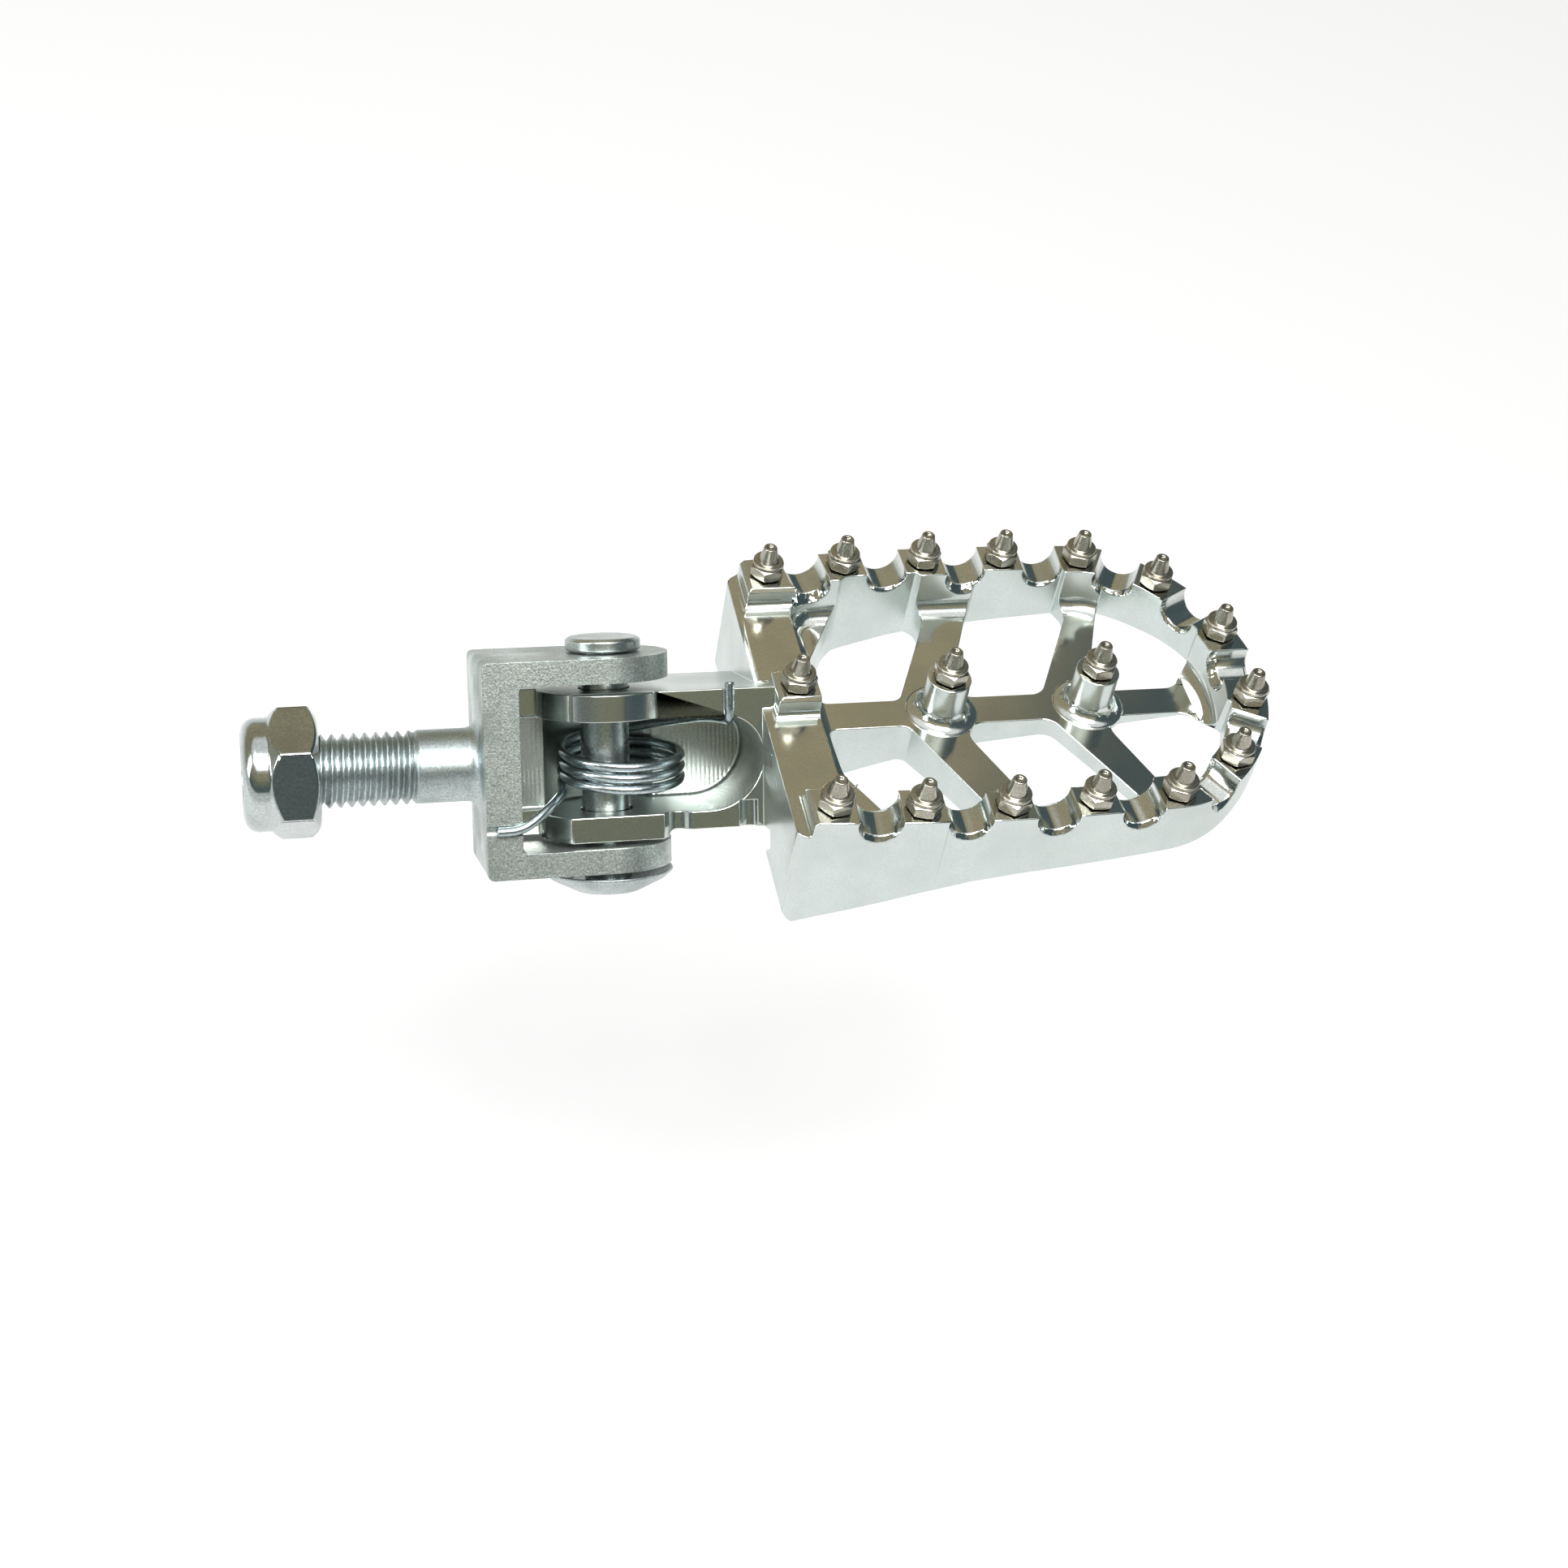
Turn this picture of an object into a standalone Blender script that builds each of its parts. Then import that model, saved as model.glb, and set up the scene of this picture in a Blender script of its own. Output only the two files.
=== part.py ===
"""Folding foot peg: a forged clevis on a threaded shank, and a milled peg that folds up on a sprung pin.

World frame: +Z is the normal of the tread, +X runs from the clevis to the tip of the peg, and the
origin is where the shank's axis meets the back face of the clevis. The clevis and its pin are rolled
about X, so that the peg folds up and back: "hinge frame" below means X, the pin's direction P and the
open side N of the clevis.
"""

import math

import bmesh
import bpy
from mathutils import Matrix, Vector

MM = 0.001
ROLL = math.radians(53.0)           # turn of the hinge frame about X
CLEARANCE = 0.3                     # between two pieces that touch, mm

# Clevis, mm
BRIDGE = 5.8                        # thickness of the back plate
ARM_OUT = 17.6                      # half width over the two arms
ARM_IN = 13.5                       # half width between them
ARM_DEPTH = 10.6                    # half height of the section, and radius of the arm ends
PIN_X = 21.2                        # pin axis from the back face
SHANK_R = 6.0                       # M12 shank
SHANK_END = -36.9
THREAD_START = -11.2                # plain shank up to here
THREAD_CORE_R = 5.75
NECK_R = 8.0                        # fillet from the shank to the back plate
LEG_GROOVE = (9.5, 0.5)             # distance from the middle and depth of the slot for the spring's leg

# Lock nut, mm
NUT_FACE = -25.5                    # face that clamps against the bracket
NUT_AF = 19.0
NUT_HEX = 7.8                       # height of the hexagon
NUT_HEIGHT = 12.0                   # with the collar
NUT_COLLAR_R = 9.1
NUT_TURN = 34.9                     # angle of a corner, degrees

# Pin, washer and clip, mm
PIN_R = 4.0
PIN_HEAD_R = 6.2
PIN_HEAD = (17.9, 20.2)
PIN_END = -22.8
WASHER = (10.8, -20.0, -18.5)       # radius, low and high along P
CLIP = (6.0, -21.2, -20.4)
CLIP_GROOVE_R = 3.1

# Return spring, mm
WIRE_R = 0.8
COIL_R = 9.9
COIL_X = 23.8
COIL_TURNS = 3.25
COIL_PITCH = 1.85
COIL_LOW = -4.2
COIL_TILT = 0.125                   # the coil leans back: drop along P for each mm along N
LEG_HOOK_X = 40.3                   # where the far leg hooks over the ear

# Lug of the peg, mm
EAR_NEAR = (-12.7, -8.5)            # along P
EAR_FAR = (7.3, 11.7)
EAR_TOP = 8.6                       # along N
BELLY = -14.2
ROOT_X = 33.0                       # from here the lug fades into the end wall
HEEL_X = BRIDGE + CLEARANCE + 0.1
EYE_R = 11.15                       # round the pin, above the heel
TROUGH = (22.6, -0.2, 11.5)         # centre (x, n) and radius of the trough round the coil
TROUGH_X = 46.15
TROUGH_FLOOR = -8.5
HEEL_TOP = -1.5                     # the heel rests against the bridge below this
LUG_BORE_R = 4.35

# Tread, mm
PAD_Z = 15.0                        # top of the stud pads
WEB_Z = 7.0                         # top of the ribs
FLAT_Z = 11.6                       # top of the hinge wall between its pads
END_X = 46.0                        # hinge-end face
POCKET_X = 55.4                     # inner face of the hinge-end wall
SIDE_HALF = 32.8                    # half width at the widest station
SIDE_X = 87.0
SIDE_R = 420.0                      # the sides are slightly barrelled
TIP_C = 98.6                        # centre and radius of the tip
TIP_R = 35.2
TIP_CORNER_R = 18.0
RIM = 7.2                           # wall round the pocket
CUT_RIM = 6.4                       # wall left where a window cuts into it
SCALLOP_R = 3.6
SKIRT = ((45.0, -8.9), (52.0, -7.0), (60.0, -4.5), (68.0, -1.8), (76.0, 0.5), (84.0, 1.9),
         (97.0, 3.4), (110.0, 4.9), (120.0, 6.2), (129.0, 8.2), (135.0, 10.5))

# Posts and studs, mm
POST_R = 3.7
POST_FOOT_R = 5.6
POST_XS = (78.2, 104.6)
CENTRE_PAD_X = 52.0
STUD_XS = (52.2, 66.2, 80.9, 95.2, 109.7, 122.1, 129.5)
STUD_YS = (27.4, 29.0, 29.4, 29.3, 28.6, 21.6, 8.1)
STUD_HEX = 5.8
STUD_FLANGE = 2.1
STUD_TIP = (1.7, 1.02, 5.9)         # cone base radius, tip radius, height over the pad
STUD_SHANK = (2.0, 5.0)             # radius and depth of the threaded part

WINDOWS = (                         # corner (x, y) and its radius, far side; each has a mirror twin
    ((57.6, 3.1, 1.5), (71.6, 3.1, 2.0), (81.6, 24.5, 4.0), (77.0, 27.5, 5.0), (65.5, 27.0, 8.0),
     (58.0, 13.5, 5.0)),
    ((80.2, 3.1, 3.4), (97.2, 3.1, 3.0), (107.3, 22.5, 3.0), (105.5, 27.5, 3.0), (90.5, 27.5, 4.0)),
    ((105.7, 3.1, 3.4), (121.6, 3.1, 3.0), (126.6, 9.5, 5.0), (124.0, 23.0, 8.0), (115.0, 27.5, 3.0)),
)

FINISHES = {                        # base colour, roughness, metallic
    "milled_aluminium": ((0.80, 0.81, 0.79), 0.16, 1.0),
    "zinc_plated_forging": ((0.58, 0.60, 0.58), 0.42, 1.0),
    "plated_nut": ((0.72, 0.73, 0.72), 0.18, 1.0),
    "pin_steel": ((0.66, 0.68, 0.68), 0.22, 1.0),
    "spring_steel": ((0.52, 0.58, 0.60), 0.20, 1.0),
    "stainless_steel": ((0.46, 0.45, 0.41), 0.28, 1.0),
    "nylon": ((0.10, 0.16, 0.30), 0.50, 0.0),
}


def finish(name):
    """Return the named finish as a Principled material, made once."""
    found = bpy.data.materials.get(name)
    if found:
        return found
    colour, roughness, metallic = FINISHES[name]
    material = bpy.data.materials.new(name)
    material.use_nodes = True
    shader = material.node_tree.nodes["Principled BSDF"]
    shader.inputs["Base Color"].default_value = (*colour, 1.0)
    shader.inputs["Roughness"].default_value = roughness
    shader.inputs["Metallic"].default_value = metallic
    material.diffuse_color = (*colour, 1.0)
    return material


def add_object(name, mesh, parent=None, material=None, location=(0, 0, 0)):
    """Place a mesh in the scene as a named object; location is in mm in the parent's frame."""
    item = bpy.data.objects.new(name, mesh)
    bpy.context.collection.objects.link(item)
    item.parent = parent
    item.location = Vector(location) * MM
    if material and not mesh.materials:
        mesh.materials.append(finish(material))
    return item


def mesh_from(bm, name):
    """Close a bmesh that was drawn in mm into a smooth-shaded mesh in metres."""
    bmesh.ops.scale(bm, vec=(MM, MM, MM), verts=bm.verts)
    bmesh.ops.recalc_face_normals(bm, faces=bm.faces)
    mesh = bpy.data.meshes.new(name)
    bm.to_mesh(mesh)
    bm.free()
    mesh.shade_smooth()
    mesh.set_sharp_from_angle(angle=math.radians(35))
    return mesh


def prism(points, low, high, place=None):
    """Extrude an outline of (x, y) points from low to high along Z, then turn it by place."""
    bm = bmesh.new()
    face = bm.faces.new([bm.verts.new((x, y, low)) for x, y in points])
    grown = bmesh.ops.extrude_face_region(bm, geom=[face])["geom"]
    top = [v for v in grown if isinstance(v, bmesh.types.BMVert)]
    bmesh.ops.translate(bm, vec=(0, 0, high - low), verts=top)
    if place:
        bmesh.ops.transform(bm, matrix=place, verts=bm.verts)
    return bm


def side_prism(points, low, high, place=None):
    """Extrude an outline of (x, n) points from low to high along P (or Y, in the world's frame)."""
    bm = prism(points, -high, -low, Matrix.Rotation(math.radians(90), 4, "X"))
    if place:
        bmesh.ops.transform(bm, matrix=place, verts=bm.verts)
    return bm


def turned(profile, steps, place=None):
    """Spin a profile of (radius, height) points round Z; it starts and ends on the axis."""
    bm = bmesh.new()
    verts = [bm.verts.new((r, 0, z)) for r, z in profile]
    edges = [bm.edges.new(pair) for pair in zip(verts, verts[1:])]
    bmesh.ops.spin(bm, geom=verts + edges, cent=(0, 0, 0), axis=(0, 0, 1), angle=math.tau,
                   steps=steps, use_merge=True)
    bmesh.ops.remove_doubles(bm, verts=bm.verts, dist=0.001)
    if place:
        bmesh.ops.transform(bm, matrix=place, verts=bm.verts)
    return bm


def box(low, high):
    """A box between two corners."""
    size = Vector(high) - Vector(low)
    middle = (Vector(high) + Vector(low)) / 2
    bm = bmesh.new()
    bmesh.ops.create_cube(bm, size=1.0, matrix=Matrix.Translation(middle) @ Matrix.Diagonal((*size, 1)))
    return bm


def arc(cx, cy, radius, start, end, steps):
    """Points on an arc, angles in degrees."""
    return [(cx + radius * math.cos(math.radians(start + (end - start) * i / steps)),
             cy + radius * math.sin(math.radians(start + (end - start) * i / steps)))
            for i in range(steps + 1)]


def rounded(corners, steps=4):
    """Round each (x, y, radius) corner of a closed outline with an arc tangent to both sides."""
    points = []
    count = len(corners)
    for i, (x, y, radius) in enumerate(corners):
        here = Vector((x, y))
        before = (Vector(corners[i - 1][:2]) - here).normalized()
        after = (Vector(corners[(i + 1) % count][:2]) - here).normalized()
        half = before.angle(after) / 2
        centre = here + (before + after).normalized() * (radius / math.sin(half))
        first = here + before * (radius / math.tan(half)) - centre
        last = here + after * (radius / math.tan(half)) - centre
        sweep = first.angle_signed(last)
        for k in range(steps + 1):
            turn = Matrix.Rotation(-sweep * k / steps, 2)
            points.append(tuple(centre + turn @ first))
    return points


def cut(target, bm, operation="DIFFERENCE"):
    """Apply a Boolean between the target and a cutter drawn in mm in the target's own frame."""
    mesh = mesh_from(bm, target.name + "_cutter")
    cutter = bpy.data.objects.new(mesh.name, mesh)
    bpy.context.collection.objects.link(cutter)
    cutter.hide_render = True
    cutter.display_type = "WIRE"
    cutter.matrix_world = target.matrix_world
    step = target.modifiers.new("cut", "BOOLEAN")
    step.operation = operation
    step.solver = "EXACT"
    step.object = cutter
    bpy.context.view_layer.update()
    graph = bpy.context.evaluated_depsgraph_get()
    result = bpy.data.meshes.new_from_object(target.evaluated_get(graph))
    target.modifiers.remove(step)
    target.data = result
    bpy.data.objects.remove(cutter)


def soften(target, width, segments=2, angle=40):
    """Round the sharp edges of a finished piece; width in mm."""
    step = target.modifiers.new("soft_edges", "BEVEL")
    step.width = width * MM
    step.segments = segments
    step.limit_method = "ANGLE"
    step.angle_limit = math.radians(angle)


def along_p(x=0.0, n=0.0):
    """Turn a Z-up shape so that its Z runs along P in the hinge frame, through (x, n)."""
    return Matrix.Translation((x, 0, n)) @ Matrix.Rotation(math.radians(-90), 4, "X")


def along_x(x=0.0):
    """Turn a Z-up shape so that its Z runs along +X from x."""
    return Matrix.Translation((x, 0, 0)) @ Matrix.Rotation(math.radians(90), 4, "Y")


def build_clevis(frame):
    """The forged U with its shank in one piece; drawn in the hinge frame, P along local Y."""
    side = [(0, -ARM_DEPTH), (0, ARM_DEPTH)]
    side += arc(PIN_X, 0, ARM_DEPTH, 90, -90, 12)
    blank = side_prism(side, -ARM_OUT, ARM_OUT)
    clevis = add_object("clevis", mesh_from(blank, "clevis"), frame, "zinc_plated_forging")
    bpy.context.view_layer.update()
    reach = PIN_X + ARM_DEPTH + 2
    cut(clevis, box((BRIDGE, -ARM_IN, -ARM_DEPTH - 2), (reach, ARM_IN, ARM_DEPTH + 2)))
    neck = [(0, 1.5), (NECK_R + 0.4, 1.5), (NECK_R, 0)]
    neck += [(SHANK_R + 2 * (1 - math.sin(math.radians(a))), -2 * (1 - math.cos(math.radians(a))))
             for a in (30, 60, 90)]
    neck += [(SHANK_R, THREAD_START), (THREAD_CORE_R, THREAD_START - 0.4),
             (THREAD_CORE_R, SHANK_END + 1.0), (THREAD_CORE_R - 1.0, SHANK_END), (0, SHANK_END)]
    cut(clevis, turned(neck, 28, along_x()), "UNION")
    hole = PIN_R + CLEARANCE
    cut(clevis, turned([(0, -25), (hole, -25), (hole, 25), (0, 25)], 24, along_p(PIN_X)))
    place, depth = LEG_GROOVE
    cut(clevis, box((-1, -place - 1.4, ARM_DEPTH - depth), (BRIDGE + 1, -place + 1.4, ARM_DEPTH + 2)))
    soften(clevis, 0.8)
    return clevis


def build_lock_nut(frame):
    """Prevailing-torque nut: hexagon, round collar, and a nylon ring held in the collar."""
    corner = NUT_AF / math.sqrt(3)
    angles = [math.radians(60 * i + NUT_TURN) for i in range(6)]
    hexagon = [(corner * math.cos(angle), corner * math.sin(angle)) for angle in angles]
    end = NUT_FACE - NUT_HEIGHT
    nut = add_object("lock_nut", mesh_from(prism(hexagon, -NUT_HEX, 0, along_x(NUT_FACE)), "lock_nut"),
                     frame, "plated_nut")
    bpy.context.view_layer.update()
    chamfer = [(0, 1), (NUT_AF / 2 - 0.6, 1), (NUT_AF / 2 - 0.6, 0), (corner + 0.2, -1.5),
               (corner + 0.2, -NUT_HEX + 1.2), (NUT_AF / 2 - 0.4, -NUT_HEX - 1), (0, -NUT_HEX - 1)]
    cut(nut, turned(chamfer, 30, along_x(NUT_FACE)), "INTERSECT")
    collar = [(0, -NUT_HEX + 1), (NUT_COLLAR_R + 0.2, -NUT_HEX + 1), (NUT_COLLAR_R + 0.2, -NUT_HEX - 0.8),
              (NUT_COLLAR_R - 0.2, -NUT_HEIGHT + 1.4), (NUT_COLLAR_R - 1.5, -NUT_HEIGHT), (0, -NUT_HEIGHT)]
    cut(nut, turned(collar, 30, along_x(NUT_FACE)), "UNION")
    bore = SHANK_R + 0.2
    cut(nut, turned([(0, -50), (bore, -50), (bore, 0), (0, 0)], 28, along_x()))
    seat = bore + 1.3
    cut(nut, turned([(0, end - 1), (bore + 0.5, end - 1), (bore + 0.5, end + 0.5), (seat, end + 0.5),
                     (seat, end + 3.0), (0, end + 3.0)], 28, along_x()))
    ring = [(bore - 0.1, 0.9), (seat - CLEARANCE, 0.9), (seat - CLEARANCE, 2.6), (bore - 0.1, 2.6),
            (bore - 0.1, 0.9)]
    add_object("lock_nut_insert", mesh_from(turned(ring, 28, along_x(end)), "lock_nut_insert"),
               frame, "nylon")


def build_pin(frame):
    """Headed hinge pin, its thrust washer and the clip in the pin's end groove."""
    low, high = PIN_HEAD
    clip_r, clip_low, clip_high = CLIP
    profile = [(0, PIN_END), (PIN_R - 0.6, PIN_END), (PIN_R, PIN_END + 0.6), (PIN_R, clip_low - 0.2),
               (CLIP_GROOVE_R, clip_low - 0.2), (CLIP_GROOVE_R, clip_high + 0.2),
               (PIN_R, clip_high + 0.2), (PIN_R, low), (PIN_HEAD_R, low), (PIN_HEAD_R, high - 0.7),
               (PIN_HEAD_R - 1.0, high), (0, high)]
    add_object("hinge_pin", mesh_from(turned(profile, 24, along_p(PIN_X)), "hinge_pin"), frame, "pin_steel")
    radius, bottom, top = WASHER
    inner = PIN_R + CLEARANCE
    ring = [(inner, bottom), (radius - 3.6, bottom), (radius, bottom + 1.0), (radius, top), (inner, top),
            (inner, bottom)]
    add_object("pin_washer", mesh_from(turned(ring, 28, along_p(PIN_X)), "pin_washer"), frame, "pin_steel")
    gap = 40
    outer = arc(0, 0, clip_r, gap, 360 - gap, 20)
    inner = arc(0, 0, CLIP_GROOVE_R + 0.2, 360 - gap, gap, 16)
    clip = prism(outer + inner, clip_low, clip_high, along_p(PIN_X))
    add_object("pin_clip", mesh_from(clip, "pin_clip"), frame, "spring_steel")


def build_spring(frame):
    """Torsion spring: a coil round the pin with one leg on the bridge and one hooked on the far ear."""
    leg_p, leg_n = -LEG_GROOVE[0], ARM_DEPTH + WIRE_R - 0.3
    route = [(1.6, leg_p, leg_n), (5.6, leg_p, leg_n), (8.5, -7.9, 10.8), (11.5, -6.3, 8.5), (13.4, -5.0, 4.5)]
    sweep = 360.0 * COIL_TURNS
    steps = int(sweep / 18)
    for i in range(steps + 1):
        angle = math.radians(180.0 + sweep * i / steps)
        n = COIL_R * math.sin(angle)
        route.append((COIL_X + COIL_R * math.cos(angle),
                      COIL_LOW + COIL_PITCH * COIL_TURNS * i / steps - COIL_TILT * n, n))
    far, over = EAR_FAR[0] - WIRE_R - 0.3, EAR_TOP + WIRE_R + 0.2
    route += [(28.6, 3.9, -8.3), (34.6, 5.0, -4.8), (38.6, far, 0.5), (LEG_HOOK_X, far, 6.0),
              (LEG_HOOK_X, far + 0.2, over - 1.0), (LEG_HOOK_X, far + 1.4, over),
              (LEG_HOOK_X, EAR_FAR[1] + 1.2, over)]
    curve = bpy.data.curves.new("return_spring", "CURVE")
    curve.dimensions = "3D"
    curve.bevel_depth = WIRE_R * MM
    curve.bevel_resolution = 2
    curve.use_fill_caps = True
    spline = curve.splines.new("POLY")
    spline.points.add(len(route) - 1)
    for point, place in zip(spline.points, route):
        point.co = (*(Vector(place) * MM), 1.0)
    curve.materials.append(finish("spring_steel"))
    spring = bpy.data.objects.new("return_spring", curve)
    bpy.context.collection.objects.link(spring)
    spring.parent = frame


def rim_outline(inset=0.0, start=None):
    """Outline of the tread: barrelled sides and a round tip joined by tangent corner arcs."""
    tip_r, corner_r, side_r = TIP_R - inset, TIP_CORNER_R - inset, SIDE_R - inset
    side_y = SIDE_HALF - SIDE_R
    to_tip, to_side = TIP_R - TIP_CORNER_R, SIDE_R - TIP_CORNER_R
    gap = Vector((SIDE_X - TIP_C, side_y))
    along = (to_tip ** 2 - to_side ** 2 + gap.length ** 2) / (2 * gap.length)
    unit = gap.normalized()
    across = Vector((-unit.y, unit.x)) * math.sqrt(to_tip ** 2 - along ** 2)
    corner = Vector((TIP_C, 0)) + unit * along + across
    if corner.x < TIP_C:
        corner -= 2 * across
    if corner.y < 0:
        corner = Vector((corner.x, -corner.y))
    tip_angle = math.degrees(math.atan2(corner.y, corner.x - TIP_C))
    side_angle = math.degrees(math.atan2(corner.y - side_y, corner.x - SIDE_X))
    first = start if start is not None else END_X + inset
    end_angle = math.degrees(math.acos((first - SIDE_X) / side_r))
    half = arc(TIP_C, 0, tip_r, 0, tip_angle, 7)
    half += arc(corner.x, corner.y, corner_r, tip_angle, side_angle, 6)[1:]
    half += arc(SIDE_X, side_y, side_r, side_angle, end_angle, 7)[1:]
    return [(x, -y) for x, y in reversed(half[1:])] + half


def stud_places():
    """Stud positions on the rim from the near hinge corner round the tip to the far one."""
    far = list(zip(STUD_XS, STUD_YS))
    return [(x, -y) for x, y in far] + far[::-1]


def lug_block():
    """Blank of the hinge lug in world axes: a section that fades into the end wall of the tread."""
    nose = math.degrees(math.asin(EAR_TOP / EYE_R))
    heel = math.degrees(math.asin(HEEL_TOP / EYE_R))
    side = [(ROOT_X, BELLY), (ROOT_X, EAR_TOP)]
    side += arc(PIN_X, 0, EYE_R, 180 - nose, 180 - heel, 10)
    side += [(HEEL_X, HEEL_TOP), (HEEL_X, BELLY + 2.0), (HEEL_X + 2.0, BELLY)]
    bm = side_prism(side, EAR_NEAR[0], EAR_FAR[1], Matrix.Rotation(ROLL, 4, "X"))
    end = [face for face in bm.faces if all(abs(v.co.x - ROOT_X) < 0.01 for v in face.verts)]
    grown = bmesh.ops.extrude_face_region(bm, geom=end)["geom"]
    bmesh.ops.delete(bm, geom=end, context="FACES_ONLY")
    for vert in grown:
        if isinstance(vert, bmesh.types.BMVert):
            vert.co.x = END_X + 3.0
            vert.co.z = max(vert.co.z, SKIRT[0][1] + 1.5)
    return bm


def channel_block():
    """Space milled between the two ears: a trough round the coil, then a flat floor to the root."""
    centre_x, centre_n, radius = TROUGH
    left = math.degrees(math.asin((HEEL_TOP - 0.8 - centre_n) / radius))
    right = math.degrees(math.asin((TROUGH_FLOOR - centre_n) / radius))
    side = [(HEEL_X - 3, EAR_TOP + 6), (HEEL_X - 3, HEEL_TOP - 0.8)]
    side += arc(centre_x, centre_n, radius, 180 - left, 360 + right, 14)
    side += arc(TROUGH_X - 1.8, TROUGH_FLOOR + 1.8, 1.8, -90, 0, 4)
    side += [(TROUGH_X, EAR_TOP + 6)]
    return side_prism(side, EAR_NEAR[1], EAR_FAR[0], Matrix.Rotation(ROLL, 4, "X"))


def build_peg_body(fold):
    """The milled peg: skirted rim, pocket with windows, pads, posts and the rolled hinge lug."""
    turn = Matrix.Rotation(ROLL, 4, "X")
    body = add_object("peg_body", mesh_from(prism(rim_outline(), -12, PAD_Z), "peg_body"), fold,
                      "milled_aluminium", (-PIN_X, 0, 0))
    bpy.context.view_layer.update()
    side = list(SKIRT) + [(SKIRT[-1][0] + 3, PAD_Z + 3), (SKIRT[0][0] - 3, PAD_Z + 3)]
    cut(body, side_prism(side, -40, 40), "INTERSECT")
    cut(body, prism(rim_outline(RIM, POCKET_X), WEB_Z, PAD_Z + 5))
    inner = rim_outline(CUT_RIM, POCKET_X - 5)
    for mirror in (1, -1):
        for corners in WINDOWS:
            window = prism([(x, y * mirror) for x, y in rounded(corners)], -20, PAD_Z + 3)
            keep = add_object("window", mesh_from(window, "window"), fold, None, (-PIN_X, 0, 0))
            bpy.context.view_layer.update()
            cut(keep, prism(inner, -30, PAD_Z + 10), "INTERSECT")
            tool = bmesh.new()
            tool.from_mesh(keep.data)
            bmesh.ops.scale(tool, vec=(1 / MM, 1 / MM, 1 / MM), verts=tool.verts)
            bpy.data.objects.remove(keep)
            cut(body, tool)
        low, high = sorted((mirror * 4.6, mirror * 23.2))
        cut(body, box((END_X - 5, low, FLAT_Z), (POCKET_X + 0.5, high, PAD_Z + 5)))
    for x in POST_XS:
        post = [(0, WEB_Z - 1), (POST_FOOT_R, WEB_Z - 1), (POST_FOOT_R, WEB_Z + 0.3), (POST_R + 0.7, WEB_Z + 1.0),
                (POST_R, WEB_Z + 2.0), (POST_R, PAD_Z), (0, PAD_Z)]
        cut(body, turned(post, 20, Matrix.Translation((x, 0, 0))), "UNION")
    places = stud_places()
    for (x0, y0), (x1, y1) in zip(places, places[1:]):
        along = math.atan2(y1 - y0, x1 - x0)
        place = Matrix.Translation(((x0 + x1) / 2, (y0 + y1) / 2, PAD_Z)) @ Matrix.Rotation(along, 4, "Z")
        place = place @ Matrix.Rotation(math.radians(90), 4, "X")
        cut(body, turned([(0, -9), (SCALLOP_R, -9), (SCALLOP_R, 9), (0, 9)], 20, place))
    cut(body, lug_block(), "UNION")
    eye = turned([(0, EAR_FAR[0] - 2), (EYE_R - 0.02, EAR_FAR[0] - 2), (EYE_R - 0.02, EAR_FAR[1] - 0.02),
                  (0, EAR_FAR[1] - 0.02)], 48, turn @ along_p(PIN_X) @ Matrix.Rotation(0.03, 4, "Z"))
    cut(body, eye, "UNION")
    cut(body, channel_block())
    cut(body, turned([(0, -30), (LUG_BORE_R, -30), (LUG_BORE_R, 30), (0, 30)], 24, turn @ along_p(PIN_X)))
    radius, depth = STUD_SHANK
    hole = [(0, -depth - 0.4), (radius + CLEARANCE, -depth - 0.4), (radius + CLEARANCE, 3), (0, 3)]
    for x, y in places + [(CENTRE_PAD_X, 0.0)] + [(x, 0.0) for x in POST_XS]:
        cut(body, turned(hole, 12, Matrix.Translation((x, y, PAD_Z)) @ Matrix.Rotation(0.1, 4, "Z")))


def stud_mesh():
    """One traction stud: threaded shank, hexagon, and a cone with a small dimple in its tip."""
    radius, depth = STUD_SHANK
    base, tip, height = STUD_TIP
    corner = STUD_HEX / math.sqrt(3)
    bm = bmesh.new()
    rings = []
    foot, shoulder = 0.35, 0.35 + STUD_FLANGE
    levels = [(radius, radius, -depth), (radius, radius, foot), (corner, STUD_HEX / 2, foot),
              (corner, STUD_HEX / 2, shoulder), (base, base, shoulder + 0.2), (tip, tip, height),
              (tip * 0.5, tip * 0.5, height - 0.3)]
    for even, odd, z in levels:
        ring = []
        for i in range(12):
            angle, reach = math.tau * i / 12, odd if i % 2 else even
            ring.append(bm.verts.new((reach * math.cos(angle), reach * math.sin(angle), z)))
        rings.append(ring)
    for low, high in zip(rings, rings[1:]):
        for i in range(12):
            j = (i + 1) % 12
            bm.faces.new((low[i], low[j], high[j], high[i]))
    bm.faces.new(rings[0])
    bm.faces.new(rings[-1])
    return mesh_from(bm, "stud")


def build_studs(fold):
    """Fourteen studs on the rim, one on the hinge wall and one on each post."""
    mesh = stud_mesh()
    places = stud_places() + [(CENTRE_PAD_X, 0.0)] + [(x, 0.0) for x in POST_XS]
    for i, (x, y) in enumerate(places, 1):
        add_object(f"stud_{i:02d}", mesh, fold, "stainless_steel", (x - PIN_X, y, PAD_Z))


def main():
    for item in list(bpy.data.objects):
        bpy.data.objects.remove(item)
    frame = add_object("hinge_frame", None)
    frame.rotation_euler = (ROLL, 0, 0)
    fold = add_object("fold_axis", None, None, None, (PIN_X, 0, 0))
    bpy.context.view_layer.update()
    build_clevis(frame)
    build_lock_nut(frame)
    build_pin(frame)
    build_spring(frame)
    build_peg_body(fold)
    build_studs(fold)


main()
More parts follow.
